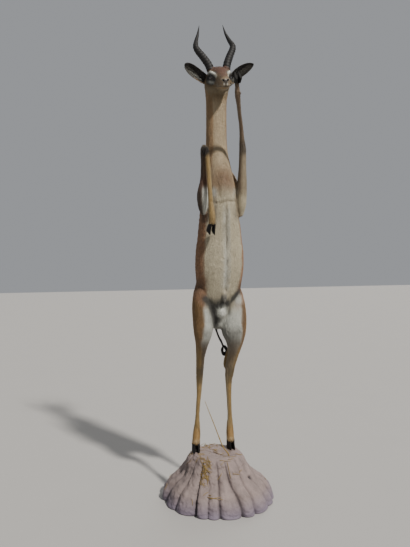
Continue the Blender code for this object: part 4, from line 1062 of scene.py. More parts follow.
def head_markings(points, trunk, coat):
    """Crown, nose bridge, brows, eye patches, muzzle and throat."""
    side, fore, up = head_coordinates(points).T
    across = np.abs(side)
    folded = np.stack([across, fore, up], axis=1)
    rough = wobble(points, 90.0)
    olive = np.array(coat.tan) * (0.50, 0.52, 0.46)
    base = np.tile(olive, (len(points), 1))
    crown = smooth(0.040, 0.026, across) * smooth(0.008, 0.026, up) * smooth(0.115, 0.075, fore)
    base = paint(base, coat.rufous, 0.95 * crown)
    horn_base = smooth(0.062, 0.050, across) * smooth(0.020, 0.030, up) * smooth(0.040, 0.020, fore)
    base = paint(base, np.array(coat.rufous) * 0.9, 0.9 * horn_base)
    poll = smooth(0.012, -0.008, fore) * smooth(-0.01, 0.02, up)
    base = paint(base, coat.rufous, 0.85 * poll)
    bridge = smooth(0.026, 0.012, across) * smooth(-0.010, 0.004, up) * smooth(0.06, 0.09, fore)
    base = paint(base, np.array(coat.rufous) * 1.0, 0.80 * bridge * smooth(0.184, 0.170, fore))
    muzzle = smooth(0.138, 0.170, fore + 0.5 * (0.004 - up))
    near_nose = muzzle * smooth(0.032, 0.020, across) * smooth(-0.020, -0.008, up)
    base = paint(base, np.array(coat.tan) * (0.66, 0.58, 0.48), 0.7 * muzzle)
    base = paint(base, np.array(coat.cream) * 0.40, 0.40 * near_nose)
    pad = smooth(0.176, 0.184, fore) * smooth(-0.020, -0.012, up) * smooth(0.010, 0.003, up) * smooth(0.015, 0.009, across)
    base = paint(base, np.array(coat.dark) * 1.1, 0.80 * pad)
    mouth = np.array(MOUTH_LINE)
    seam = np.interp(fore, mouth[:, 1], mouth[:, 2])
    lips = bump_at(up, seam, 0.010) * smooth(0.09, 0.13, fore)
    base = paint(base, coat.cream, 0.28 * lips)
    jaw = smooth(-0.036, -0.050, up) * smooth(0.02, 0.06, fore)
    base = paint(base, coat.cream, 0.22 * jaw)
    base = paint(base, np.array(coat.dark) * 0.8, 0.92 * near_line(folded, DARK_BAND, 0.0165))
    for sign in (-1.0, 1.0):
        distance, off, turn = eye_angles(points, sign)
        share = lid_share(off, turn) + 0.05 * rough
        patch = smooth(2.6, 1.9, share) * smooth(0.050, 0.040, distance)
        base = paint(base, np.array(coat.dark) * 0.35, 0.97 * patch)
    base = paint(base, np.array(coat.white) * 0.95, 0.90 * near_line(folded, UNDER_EYE, 0.0072))
    brow = np.clip(1.7 * near_line(folded, BROW_LINE, 0.0057), 0.0, 1.0)
    base = paint(base, np.array(coat.white) * 1.25, brow)
    for sign in (-1.0, 1.0):
        distance, off, turn = eye_angles(points, sign)
        share = lid_share(off, turn)
        tear = bump_at(fore, 0.079, 0.010) * bump_at(up, -0.004, 0.007) * smooth(0.018, 0.028, side * sign)
        base = paint(base, np.array(coat.dark) * 0.8, 0.9 * tear)
        rim = smooth(1.26, 1.08, share) * smooth(0.030, 0.026, distance)
        base = paint(base, np.array(coat.dark) * 0.7, rim)
        hole = np.exp(-((side * sign - 0.0125) / 0.0066) ** 2
                      - ((up - 0.002 - 0.5 * (side * sign - 0.0125)) / 0.0050) ** 2
                      - ((fore - 0.184) / 0.012) ** 2)
        base = paint(base, np.array(coat.dark) * 0.2, np.clip(2.2 * hole, 0.0, 1.0))
        spot = np.exp(-((side * sign - 0.0085) / 0.0040) ** 2 - ((up + 0.017) / 0.006) ** 2) * smooth(0.165, 0.175, fore)
        base = paint(base, np.array(coat.white) * 1.1, 0.85 * spot)
    cleft = bump_at(side, 0.0, 0.0040) * smooth(0.172, 0.182, fore) * smooth(-0.030, -0.022, up) * smooth(0.008, 0.000, up)
    base = paint(base, np.array(coat.dark) * 0.8, 0.9 * cleft)
    line = bump_at(up, seam, 0.0021) * smooth(0.085, 0.110, fore)
    base = paint(base, np.array(coat.dark) * 0.6, 0.95 * line)
    chin = smooth(-0.033, -0.039, up) * smooth(0.12, 0.14, fore)
    base = paint(base, np.array(coat.tan) * (0.95, 0.95, 0.72), 0.60 * chin)
    neck = smooth(-0.045, -0.075, up) * smooth(0.035, 0.010, fore)
    return base * (1.0 - neck)[:, None] + trunk * neck[:, None]


def ear_markings(points, normals, label, coat):
    """Dark tip and edges, grey inside, tan back."""
    root, tip, edge, opening = (np.array(v) for v in ear_frame(label))
    axis = tip - root
    length = np.linalg.norm(axis)
    axis = axis / length
    rows = points - root
    share = rows @ axis / length
    across = rows @ edge
    inside = smooth(-0.15, 0.25, normals @ opening)
    rough = wobble(points, 45.0)
    half = 0.029 * np.clip((0.62 + 1.6 * share) * np.clip(1.0 - share, 0.0, 1.0) ** 0.62, 0.05, 2.0)
    place = across / half + 0.08 * rough
    back = paint(np.tile(np.array(coat.tan) * 0.85, (len(points), 1)), np.array(coat.brown) * 0.8, smooth(0.5, 0.95, share))
    black = np.array(coat.dark) * 0.62
    front = np.tile(np.array(coat.grey) * 0.36, (len(points), 1))
    front = paint(front, np.array(coat.grey) * 0.62, 0.7 * bump_at(share, 0.62, 0.20) * bump_at(place, -0.35, 0.45))
    front = paint(front, black, 0.95 * smooth(-0.10, 0.16, place))
    front = paint(front, black, 0.90 * smooth(0.86, 0.95, share + 0.03 * rough))
    front = paint(front, black, 0.92 * smooth(0.42, 0.26, share + 0.05 * rough))
    front = paint(front, np.array(coat.grey) * 0.5, 0.55 * bump_at(share, 0.80, 0.07) * smooth(0.6, 0.2, place))
    front = paint(front, np.array(coat.tan) * 0.8, 0.75 * smooth(-0.80, -0.98, place) * smooth(0.5, 0.3, share))
    return back * (1.0 - inside)[:, None] + front * inside[:, None], inside, share


def dress_skin(mesh, coat):
    """Sink the skin by the coat's depth, sculpt it and store its markings and hair directions."""
    points, normals = vertex_rows(mesh)
    labels = region_labels(points)
    names = np.array(FLESH)
    depth = np.full(len(points), coat.depth)
    depth[np.isin(labels, [FLESH.index(n) for n in FLESH if "leg" in n])] = 0.0010
    depth[(labels == FLESH.index("head"))] = 0.0006
    depth[np.isin(labels, [FLESH.index("ear_left"), FLESH.index("ear_right")])] = 0.0001
    edges = edge_rows(mesh)
    depth = spread_values(depth[:, None], edges, 6)[:, 0]
    points = points - normals * (depth + SOLID_GAP)[:, None]
    points, moist = sculpt_head(points, normals, labels)
    points = sculpt_body(points, normals)
    place_vertices(mesh, points)
    points, normals = vertex_rows(mesh)

    painted = np.zeros((len(points), 3))
    lie = np.zeros((len(points), 3))
    comb = np.zeros((len(points), 3))
    longness = np.ones(len(points))
    thickness = np.ones(len(points))
    trunk = trunk_markings(points, normals, coat)
    for k, name in enumerate(FLESH):
        chosen = labels == k
        rows = points[chosen]
        path = HAIR_PATHS[name]
        along, offset, tangent = path_rows(rows, path)
        lie[chosen] = tangent
        first = unit(np.cross(tangent, (0.31, 0.22, 0.92)))
        second = np.cross(tangent, first)
        comb[chosen] = np.stack([(offset * first).sum(axis=1), (offset * second).sum(axis=1),
                                 along * 0.11], axis=1)
        if name in ("torso", "neck"):
            painted[chosen] = trunk[chosen]
            longness[chosen] = 1.0 if name == "torso" else 0.85
        elif name.startswith("hindleg"):
            sign = 1.0 if name.endswith("left") else -1.0
            painted[chosen] = hind_markings(rows, path, sign, coat)
            z = rows[:, 2]
            longness[chosen] = 0.52 + 0.42 * smooth(0.70, 0.90, z)
            thickness[chosen] = 1.25
        elif name.startswith("foreleg"):
            side = name.split("_")[1]
            painted[chosen], share = fore_markings(rows, path, side, coat)
            knee = knee_mask(rows, side)
            strength = 0.96 if side == "right" else 0.35
            painted[chosen] = paint(painted[chosen], np.array(coat.dark) * 0.9, np.clip(1.9 * knee, 0.0, 1.0) * strength)
            longness[chosen] = 0.56 + 0.25 * smooth(0.4, 0.1, share) + 0.5 * knee
            thickness[chosen] = 1.25
        elif name == "head":
            painted[chosen] = head_markings(rows, trunk[chosen], coat)
            side, fore, up = head_coordinates(rows).T
            longness[chosen] = 0.58 - 0.26 * smooth(0.05, 0.15, fore)
            thickness[chosen] = 1.9 + 1.2 * smooth(0.06, 0.15, fore)
        else:
            label = name.split("_")[1]
            painted[chosen], inside, share = ear_markings(rows, normals[chosen], label, coat)
            longness[chosen] = 0.46
            thickness[chosen] = 1.8
    for name, node_name in (("thigh_left", "hindleg_left"), ("thigh_right", "hindleg_right")):
        sign = 1.0 if name.endswith("left") else -1.0
        torso = labels == FLESH.index("torso")
        blend = smooth(1.035, 0.955, points[:, 2] - 0.30 * (np.abs(points[:, 0]) - 0.04)) * torso * (points[:, 0] * sign > 0.0)
        blend *= 1.0 - smooth(0.036, 0.026, np.linalg.norm((points - np.array((0.004, -0.056, 0.985))) / (1.0, 1.2, 1.25), axis=1))
        hind = hind_markings(points, HAIR_PATHS[node_name], sign, coat)
        painted = painted * (1.0 - blend)[:, None] + hind * blend[:, None]
    lower = np.isin(labels, [FLESH.index(n) for n in ("torso", "hindleg_left", "hindleg_right")])
    painted[lower] = groin_markings(painted[lower], points[lower], coat)
    for side in ("left", "right"):
        path = HAIR_PATHS["foreleg_" + side]
        torso = labels == FLESH.index("torso")
        along, offset, tangent = path_rows(points, path)
        radius = np.linalg.norm(offset, axis=1)
        sign = 1.0 if side == "left" else -1.0
        arm = torso * smooth(0.060, 0.042, radius) * (points[:, 0] * sign > 0.045) * smooth(1.66, 1.60, points[:, 2])
        shade = (np.array(coat.cream) * 0.28 + np.array(coat.tan) * 0.34 if side == "left"
                 else np.array(coat.brown) * 0.6)
        painted = paint(painted, shade, 0.75 * arm)
    painted = spread_values(painted, edges, 2)
    lie = spread_values(lie, edges, 14)
    lie = unit(lie - normals * (lie * normals).sum(axis=1)[:, None])
    bare = np.clip(moist * 1.3, 0.0, 1.0)
    for sign in (-1.0, 1.0):
        distance, off, turn = eye_angles(points, sign)
        bare = np.maximum(bare, smooth(1.20, 1.10, lid_share(off, turn)) * (distance < 0.030))
    thickness = thickness * (1.0 - bare) ** 2
    thickness[bare > 0.5] = 0.0
    mottled = 1.0 + 0.07 * wobble(points, 60.0, 1.0) + 0.05 * wobble(points, 190.0, 2.0)
    painted = np.clip(painted * mottled[:, None], 0.0, 1.0)
    store(mesh, "coat", "FLOAT_COLOR", painted)
    store(mesh, "tone", "FLOAT", np.full(len(points), 0.5))
    store(mesh, "moist", "FLOAT", moist)
    store(mesh, "comb", "FLOAT_VECTOR", comb)
    store(mesh, "lie", "FLOAT_VECTOR", lie)
    store(mesh, "fur_length", "FLOAT", longness)
    store(mesh, "fur_density", "FLOAT", thickness)
    store(mesh, "region", "FLOAT", labels.astype(float))


def split_long_edges(mesh):
    """Split the skin's long edges, so that its vertices are close enough for the markings."""
    bm = bmesh.new()
    bm.from_mesh(mesh)
    bmesh.ops.triangulate(bm, faces=[f for f in bm.faces if len(f.verts) > 3])
    for _ in range(4):
        rows = []
        for edge in bm.edges:
            a, b = edge.verts[0].co, edge.verts[1].co
            middle = (a + b) * 0.5
            front = middle.y < -0.02 and 0.90 < middle.z < 1.76
            longest = 0.0036 if front and abs(middle.x - 0.008) < 0.020 else 0.0052 if front else 0.0090
            excess = (a - b).length / longest
            if excess > 1.0:
                rows.append((excess, edge))
        room = (FINE_TRIANGLES - len(bm.faces)) // 2
        if not rows or room < 100:
            break
        rows.sort(key=lambda row: -row[0])
        bmesh.ops.subdivide_edges(bm, edges=[edge for _, edge in rows[:room]], cuts=1)
        bmesh.ops.triangulate(bm, faces=[f for f in bm.faces if len(f.verts) > 3])
    bm.to_mesh(mesh)
    bm.free()


def thin_out(skin, chosen, wanted):
    """Decimate the chosen vertices' part of the skin to the wanted number of triangles."""
    corners = np.array([len(face.vertices) - 2 for face in skin.data.polygons])
    first = np.array([face.vertices[0] for face in skin.data.polygons])
    total = corners.sum()
    here = corners[chosen[first]].sum()
    if here <= wanted:
        return
    group = skin.vertex_groups.new(name="thin")
    group.add(np.flatnonzero(chosen).tolist(), 1.0, "REPLACE")
    modifier = skin.modifiers.new("thin", "DECIMATE")
    modifier.ratio = (total - here + wanted) / total
    modifier.vertex_group = "thin"
    modifier.vertex_group_factor = 1.0
    bake_modifiers(skin)
    skin.vertex_groups.clear()


def build_skin(settings):
    mesh = skin_shapes()
    skin = link("skin", mesh)
    remesh = skin.modifiers.new("melt", "REMESH")
    remesh.mode = "VOXEL"
    remesh.voxel_size = 0.0016
    remesh.adaptivity = 0.0
    even = skin.modifiers.new("even", "SMOOTH")
    even.factor = 0.5
    even.iterations = 2
    bake_modifiers(skin)
    keep_largest(skin.data)
    points, _ = vertex_rows(skin.data)
    side, fore, up = head_coordinates(points).T
    on_head = (smooth(-0.06, -0.02, fore) * smooth(-0.11, -0.08, up) > 0.5) | (points[:, 2] > 2.18)
    thin_out(skin, on_head, HEAD_TRIANGLES)
    points, _ = vertex_rows(skin.data)
    side, fore, up = head_coordinates(points).T
    on_head = (smooth(-0.06, -0.02, fore) * smooth(-0.11, -0.08, up) > 0.5) | (points[:, 2] > 2.18)
    thin_out(skin, ~on_head, BODY_TRIANGLES)
    split_long_edges(skin.data)
    dress_skin(skin.data, settings.coat)
    skin.data.shade_smooth()
    skin.data.materials.clear()
    skin.data.materials.append(coat_material("skin_hair", True))
    unwrap(skin.data, None)
    return skin


# Unwrap: where each surface point lies round and along its region's path
def unwrap_place(points):
    """A place on an unwrap of the skin's own shape, one column per region."""
    labels = np.zeros(len(points), dtype=int)
    best = np.full(len(points), 1e9)
    places = np.zeros((len(points), 2))
    for k, name in enumerate(FLESH):
        path = HAIR_PATHS[name]
        along, offset, tangent = path_rows(points, path)
        radius = np.linalg.norm(offset, axis=1)
        nearer = radius < best
        best[nearer] = radius[nearer]
        labels[nearer] = k
        first = unit(np.cross(tangent, (1.0, 0.13, 0.05)))
        second = np.cross(tangent, first)
        angle = np.arctan2((offset * second).sum(axis=1), (offset * first).sum(axis=1))
        length = np.linalg.norm(np.diff(np.array(path), axis=0), axis=1).sum()
        column = (k + 0.04 + 0.90 * (angle / (2.0 * math.pi) + 0.5)) / len(FLESH)
        row = 0.02 + 0.95 * along / length
        places[nearer] = np.stack([column, row], axis=1)[nearer]
    return places


def unwrap(mesh, patch_size):
    """Write the OFBake map: the skin's own unwrap, or one small patch per lock at its root."""
    corners = np.empty(len(mesh.loops), dtype=np.int32)
    mesh.loops.foreach_get("vertex_index", corners)
    if patch_size is None:
        points, _ = vertex_rows(mesh)
        places = unwrap_place(points)
    else:
        count = len(mesh.vertices)
        roots, patch = np.empty(3 * count, dtype=np.float32), np.empty(3 * count, dtype=np.float32)
        mesh.attributes["root"].data.foreach_get("vector", roots)
        mesh.attributes["patch"].data.foreach_get("vector", patch)
        places = unwrap_place(roots.reshape(-1, 3).astype(float)) + patch.reshape(-1, 3)[:, :2] * patch_size
    layer = mesh.uv_layers.get("OFBake") or mesh.uv_layers.new(name="OFBake")
    layer.data.foreach_set("uv", places[corners].astype(np.float32).ravel())


# Locks of the coat
def lock_mesh():
    """One thin closed lock along +Y, one unit long, that lies back down to the skin."""
    rows = ((0.0, -0.03, 0.85, 0.0), (0.40, 0.115, 1.0, 0.055), (1.0, 0.10, 0.0, 0.0))
    points = []
    for along, height, width, ridge in rows[:2]:
        points += [(-width, along, height), (width, along, height), (0.0, along, height + ridge)]
    points[2] = (0.0, 0.0, 0.02)
    points.append((0.0, rows[2][0], rows[2][1]))
    faces = [(0, 2, 1)]
    for i in range(3):
        j = (i + 1) % 3
        faces += [(i, j, 3 + j), (i, 3 + j, 3 + i), (3 + i, 3 + j, 6)]
    mesh = mesh_from_arrays("lock", points, faces)
    bm = bmesh.new()
    bm.from_mesh(mesh)
    bmesh.ops.recalc_face_normals(bm, faces=bm.faces)
    bm.to_mesh(mesh)
    bm.free()
    patch = [(0.5 + 0.4 * max(-1.0, min(1.0, p[0])), 0.1 + 0.8 * p[1], 0.0) for p in points]
    store(mesh, "patch", "FLOAT_VECTOR", patch)
    return mesh


def coat_tree():
    """Sets locks on a surface, along its stored lie."""
    tree = bpy.data.node_groups.new("coat_locks", "GeometryNodeTree")
    interface = tree.interface
    interface.new_socket("Skin", in_out="INPUT", socket_type="NodeSocketGeometry")
    for name, kind in (("Lock", "NodeSocketObject"), ("Density", "NodeSocketFloat"),
                       ("Length", "NodeSocketFloat"), ("Width", "NodeSocketFloat"),
                       ("Seed", "NodeSocketInt"), ("Material", "NodeSocketMaterial")):
        interface.new_socket(name, in_out="INPUT", socket_type=kind)
    interface.new_socket("Coat", in_out="OUTPUT", socket_type="NodeSocketGeometry")
    given = node(tree, "NodeGroupInput").outputs

    def stored(name, kind="FLOAT"):
        return node(tree, "GeometryNodeInputNamedAttribute", {"Name": name}, data_type=kind).outputs["Attribute"]

    def draw(low, high, offset):
        made = node(tree, "FunctionNodeRandomValue", data_type="FLOAT")
        made.inputs[2].default_value = low
        made.inputs[3].default_value = high
        shifted = node(tree, "ShaderNodeMath", {0: given["Seed"], 1: float(offset)}, operation="ADD")
        tree.links.new(shifted.outputs[0], made.inputs["Seed"])
        return made.outputs[1]

    density = maths(tree, "MULTIPLY", stored("fur_density"), given["Density"])
    scatter = node(tree, "GeometryNodeDistributePointsOnFaces",
                   {"Mesh": given["Skin"], "Density": density, "Seed": given["Seed"]},
                   distribute_method="RANDOM")
    rooted = node(tree, "GeometryNodeStoreNamedAttribute",
                  {"Geometry": scatter.outputs["Points"], "Name": "root",
                   "Value": node(tree, "GeometryNodeInputPosition").outputs[0]},
                  data_type="FLOAT_VECTOR", domain="POINT")
    toned = node(tree, "GeometryNodeStoreNamedAttribute",
                 {"Geometry": rooted.outputs[0], "Name": "tone", "Value": draw(0.0, 1.0, 11)},
                 data_type="FLOAT", domain="POINT")
    facing = node(tree, "GeometryNodeStoreNamedAttribute",
                  {"Geometry": toned.outputs[0], "Name": "out", "Value": scatter.outputs["Normal"]},
                  data_type="FLOAT_VECTOR", domain="POINT")
    aim = node(tree, "FunctionNodeAxesToRotation", primary_axis="Y", secondary_axis="Z")
    tree.links.new(stored("lie", "FLOAT_VECTOR"), aim.inputs[0])
    tree.links.new(stored("out", "FLOAT_VECTOR"), aim.inputs[1])
    jitter = node(tree, "ShaderNodeCombineXYZ", {"X": draw(0.00, 0.16, 21), "Y": draw(-0.5, 0.5, 22),
                                                 "Z": draw(-0.24, 0.24, 23)})
    turned = node(tree, "FunctionNodeRotateRotation", {"Rotation": aim.outputs[0]},
                  rotation_space="LOCAL")
    tree.links.new(node(tree, "FunctionNodeEulerToRotation", {0: jitter.outputs[0]}).outputs[0],
                   turned.inputs["Rotate By"])
    length = maths(tree, "MULTIPLY", maths(tree, "MULTIPLY", stored("fur_length"), given["Length"]),
                   draw(0.72, 1.15, 31))
    share = maths(tree, "POWER", stored("fur_length"), 0.6)
    width = maths(tree, "MULTIPLY", maths(tree, "MULTIPLY", share, given["Width"]), draw(0.7, 1.2, 32))
    scale = node(tree, "ShaderNodeCombineXYZ", {"X": width, "Y": length, "Z": length})
    lock = node(tree, "GeometryNodeObjectInfo", {"Object": given["Lock"]})
    placed = node(tree, "GeometryNodeInstanceOnPoints",
                  {"Points": facing.outputs[0], "Instance": lock.outputs["Geometry"],
                   "Rotation": turned.outputs[0], "Scale": scale.outputs[0]})
    whole = node(tree, "GeometryNodeRealizeInstances", {"Geometry": placed.outputs[0]})
    shown = node(tree, "GeometryNodeSetMaterial", {"Geometry": whole.outputs[0],
                                                   "Material": given["Material"]})
    outside = node(tree, "NodeGroupOutput")
    tree.links.new(shown.outputs[0], outside.inputs[0])
    return tree


def set_inputs(modifier, values):
    """Set a Geometry Nodes modifier's inputs by their names."""
    for item in modifier.node_group.interface.items_tree:
        if item.item_type == "SOCKET" and item.in_out == "INPUT" and item.name in values:
            modifier[item.identifier] = values[item.name]


def skin_patch(skin, name, chosen):
    """A copy of the skin with only the faces whose first vertex is chosen."""
    bm = bmesh.new()
    bm.from_mesh(skin.data)
    doomed = [f for f in bm.faces if not chosen[f.verts[0].index]]
    bmesh.ops.delete(bm, geom=doomed, context="FACES")
    mesh = bpy.data.meshes.new(name)
    bm.to_mesh(mesh)
    bm.free()
    return link(name, mesh)


def build_coat(skin, settings):
    """The locks over the whole skin, in pieces by region."""
    coat = settings.coat
    points, _ = vertex_rows(skin.data)
    labels = np.empty(len(points), dtype=np.float32)
    skin.data.attributes["region"].data.foreach_get("value", labels)
    labels = np.round(labels).astype(int)
    z = points[:, 2]
    front = points[:, 1] < np.interp(z, *zip(*TRUNK_LINE))

    def region(*names):
        return np.isin(labels, [FLESH.index(n) for n in names])

    torso = region("torso")
    pieces = {
        "coat_rump": torso & (z < 1.16),
        "coat_belly": torso & front & (z >= 1.16) & (z < 1.50),
        "coat_back": torso & ~front & (z >= 1.16) & (z < 1.50),
        "coat_chest": torso & front & (z >= 1.50),
        "coat_withers": torso & ~front & (z >= 1.50),
        "coat_neck": region("neck"),
        "coat_head": region("head"),
        "coat_ears": region("ear_left", "ear_right"),
        "coat_hindleg_left": region("hindleg_left"),
        "coat_hindleg_right": region("hindleg_right"),
        "coat_forelegs": region("foreleg_left", "foreleg_right"),
    }
    lock = link("lock_shape", lock_mesh())
    tree = coat_tree()
    material = coat_material("coat_hair", False)
    made = []
    thinning = 1.0
    for index, (name, chosen) in enumerate(pieces.items()):
        obj = skin_patch(skin, name, chosen)
        modifier = obj.modifiers.new("locks", "NODES")
        modifier.node_group = tree
        set_inputs(modifier, {"Lock": lock, "Density": coat.density * thinning, "Length": coat.length,
                              "Width": coat.width * 1.0,
                              "Seed": coat.seed + 40 * index, "Material": material})
        bake_modifiers(obj)
        unwrap(obj.data, 0.003)
        made.append(obj)
    bpy.data.objects.remove(lock, do_unlink=True)
    return made


# Eyes
def eyeball(label, sign):
    """A globe with a slightly raised cornea; gaze holds the place on it for the pupil."""
    centre, outward, forward, upward = eye_frame(sign)
    bm = bmesh.new()
    bmesh.ops.create_uvsphere(bm, u_segments=56, v_segments=40, radius=1.0)
    gaze = []
    for vert in bm.verts:
        place = vert.co.copy()
        off = math.acos(max(-1.0, min(1.0, place.z)))
        radius = EYE_RADIUS - 0.0003 + 0.0007 * math.exp(-(off / 0.55) ** 2)
        gaze.append((place.x, place.y, place.z))
        vert.co = centre + (outward * place.z + forward * place.x + upward * place.y) * radius
    mesh = mesh_from_bmesh("eye_" + label, bm)
    store(mesh, "gaze", "FLOAT_VECTOR", np.array(gaze))
    return link("eyeball_" + label, mesh)


def eye_material(eye):
    mat, tree, shader = new_material("eye_gloss", 0.06, Coat_Weight=1.0, Coat_Roughness=0.02, IOR=1.40)
    gaze = attribute(tree, "gaze", "Vector")
    parts = node(tree, "ShaderNodeSeparateXYZ", {0: gaze}).outputs
    wide = maths(tree, "MULTIPLY", parts[0], 1.55)
    tall = maths(tree, "MULTIPLY", parts[1], 3.1)
    pupil = maths(tree, "SQRT", maths(tree, "ADD", maths(tree, "MULTIPLY", wide, wide),
                                      maths(tree, "MULTIPLY", tall, tall)))
    inside = node(tree, "ShaderNodeMapRange", {"Value": pupil, "From Min": 0.85, "From Max": 0.70})
    flecks = node(tree, "ShaderNodeTexNoise", {"Vector": gaze, "Scale": 9.0, "Detail": 4.0})
    iris = mix(tree, flecks.outputs["Fac"], tuple(c * 0.6 for c in eye.iris), tuple(eye.iris))
    tree.links.new(mix(tree, inside.outputs[0], iris, tuple(eye.pupil)), shader.inputs["Base Color"])
    return mat


def lid_rim(label, sign):
    """The bare, moist edge of the lids, as a closed ring that lies on the globe."""
    centre, *axes = eye_frame(sign)
    steps = 72
    ring = [eye_direction(axes, *lid_edge(2.0 * math.pi * i / steps)) for i in range(steps)]
    points = []
    sides = 8
    for i in range(steps):
        tangent = (ring[(i + 1) % steps] - ring[i - 1]).normalized()
        normal = ring[i].normalized()
        across = normal.cross(tangent).normalized()
        for k in range(sides):
            angle = 2.0 * math.pi * k / sides
            place = centre + normal * (EYE_RADIUS + 0.0010 + 0.0010 * math.sin(angle))
            points.append(place + across * (0.0014 * math.cos(angle)))
    faces = []
    for i in range(steps):
        for k in range(sides):
            j, n = (k + 1) % sides, (i + 1) % steps
            faces.append((i * sides + k, i * sides + j, n * sides + j, n * sides + k))
    mesh = mesh_from_arrays("lid_rim_" + label, points, faces)
    bm = bmesh.new()
    bm.from_mesh(mesh)
    bmesh.ops.recalc_face_normals(bm, faces=bm.faces)
    bm.to_mesh(mesh)
    bm.free()
    return link("lid_rim_" + label, mesh)


def build_eyes(settings):
    eye = settings.eye
    gloss = eye_material(eye)
    rim_mat, tree, shader = new_material("lid_skin", 0.30, Coat_Weight=0.4, Coat_Roughness=0.15)
    shade = mix(tree, wear_mask(tree, 400.0), tuple(eye.lid), tuple(c * 1.8 for c in eye.lid))
    tree.links.new(shade, shader.inputs["Base Color"])
    for label, sign in (("left", 1.0), ("right", -1.0)):
        ball = eyeball(label, sign)
        ball.data.shade_smooth()
        ball.data.materials.append(gloss)
        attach(ball, "root")
        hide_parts("eye_" + label)
        rim = lid_rim(label, sign)
        rim.data.shade_smooth()
        rim.data.materials.append(rim_mat)
        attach(rim, "root")


# Horns
def horn_tree():
    """A ringed horn round a curve whose points carry its radius."""
    tree = bpy.data.node_groups.new("ringed_horn", "GeometryNodeTree")
    interface = tree.interface
    interface.new_socket("Line", in_out="INPUT", socket_type="NodeSocketGeometry")
    for name, kind in (("Rows", "NodeSocketInt"), ("Sides", "NodeSocketInt"),
                       ("Rings", "NodeSocketFloat"), ("Ring Height", "NodeSocketFloat"),
                       ("Material", "NodeSocketMaterial")):
        interface.new_socket(name, in_out="INPUT", socket_type=kind)
    interface.new_socket("Horn", in_out="OUTPUT", socket_type="NodeSocketGeometry")
    given = node(tree, "NodeGroupInput").outputs
    rows = node(tree, "GeometryNodeResampleCurve", {"Curve": given["Line"], "Count": given["Rows"]})
    factor = node(tree, "GeometryNodeSplineParameter").outputs["Factor"]
    marked = node(tree, "GeometryNodeStoreNamedAttribute",
                  {"Geometry": rows.outputs[0], "Name": "along", "Value": factor},
                  data_type="FLOAT", domain="POINT")
    outline = node(tree, "GeometryNodeCurvePrimitiveCircle", {"Resolution": given["Sides"], "Radius": 1.0})
    tube = node(tree, "GeometryNodeCurveToMesh",
                {"Curve": marked.outputs[0], "Profile Curve": outline.outputs[0],
                 "Scale": node(tree, "GeometryNodeInputRadius").outputs[0], "Fill Caps": True})
    along = node(tree, "GeometryNodeInputNamedAttribute", {"Name": "along"}, data_type="FLOAT").outputs["Attribute"]
    place = node(tree, "GeometryNodeInputPosition").outputs[0]
    uneven = node(tree, "ShaderNodeTexNoise", {"Vector": place, "Scale": 34.0, "Detail": 2.0})
    shifted = maths(tree, "ADD", maths(tree, "MULTIPLY", along, given["Rings"]),
                    maths(tree, "MULTIPLY", uneven.outputs["Fac"], 0.55))
    wave = maths(tree, "ABSOLUTE", maths(tree, "SINE", maths(tree, "MULTIPLY", shifted, math.pi)))
    crest = maths(tree, "POWER", wave, 0.70)
    fade = node(tree, "ShaderNodeMapRange", {"Value": along, "From Min": 0.80, "From Max": 0.60},
                interpolation_type="SMOOTHSTEP")
    start = node(tree, "ShaderNodeMapRange", {"Value": along, "From Min": 0.00, "From Max": 0.05},
                 interpolation_type="SMOOTHSTEP")
    ring = maths(tree, "MULTIPLY", maths(tree, "MULTIPLY", maths(tree, "SUBTRACT", crest, 0.75),
                                         fade.outputs[0]), start.outputs[0])
    grain = node(tree, "ShaderNodeTexNoise", {"Vector": place, "Scale": 260.0, "Detail": 3.0})
    height = maths(tree, "ADD", maths(tree, "MULTIPLY", ring, given["Ring Height"]),
                   maths(tree, "MULTIPLY", maths(tree, "SUBTRACT", grain.outputs["Fac"], 0.5), 0.0007))
    stored = node(tree, "GeometryNodeStoreNamedAttribute",
                  {"Geometry": tube.outputs[0], "Name": "crest",
                   "Value": maths(tree, "MULTIPLY", crest, fade.outputs[0])},
                  data_type="FLOAT", domain="POINT")
    offset = node(tree, "ShaderNodeVectorMath", {0: node(tree, "GeometryNodeInputNormal").outputs[0]},
                  operation="SCALE")
    tree.links.new(height, offset.inputs["Scale"])
    raised = node(tree, "GeometryNodeSetPosition", {"Geometry": stored.outputs[0],
                                                    "Offset": offset.outputs[0]})
    whole = node(tree, "GeometryNodeRealizeInstances", {"Geometry": raised.outputs[0]})
    shown = node(tree, "GeometryNodeSetMaterial", {"Geometry": whole.outputs[0],
                                                   "Material": given["Material"]})
    outside = node(tree, "NodeGroupOutput")
    tree.links.new(shown.outputs[0], outside.inputs[0])
    return tree


def line_object(name, rows):
    """A curve object through rows of x, y, z and radius."""
    curve = bpy.data.curves.new(name, "CURVE")
    curve.dimensions = "3D"
    spline = curve.splines.new("POLY")
    spline.points.add(len(rows) - 1)
    for point, row in zip(spline.points, rows):
        point.co = (*row[:3], 1.0)
        point.radius = row[3]
    obj = bpy.data.objects.new(name, curve)
    bpy.context.scene.collection.objects.link(obj)
    return obj


def horn_material(horn):
    mat, tree, shader = new_material("horn_keratin", 0.60, Specular_IOR_Level=0.35)
    crest = attribute(tree, "crest")
    worn = maths(tree, "MULTIPLY", wear_mask(tree, 120.0), crest)
    base = mix(tree, worn, tuple(horn.dark), tuple(horn.worn))
    tree.links.new(base, shader.inputs["Base Color"])
    place = node(tree, "ShaderNodeTexCoord").outputs["Object"]
    stretched = node(tree, "ShaderNodeMapping", {"Vector": place, "Scale": (1.0, 1.0, 0.14)})
    grain = node(tree, "ShaderNodeTexNoise", {"Vector": stretched.outputs[0], "Scale": 900.0, "Detail": 4.0})
    bump(tree, shader, grain.outputs["Fac"], 0.45, 0.0008)
    return mat


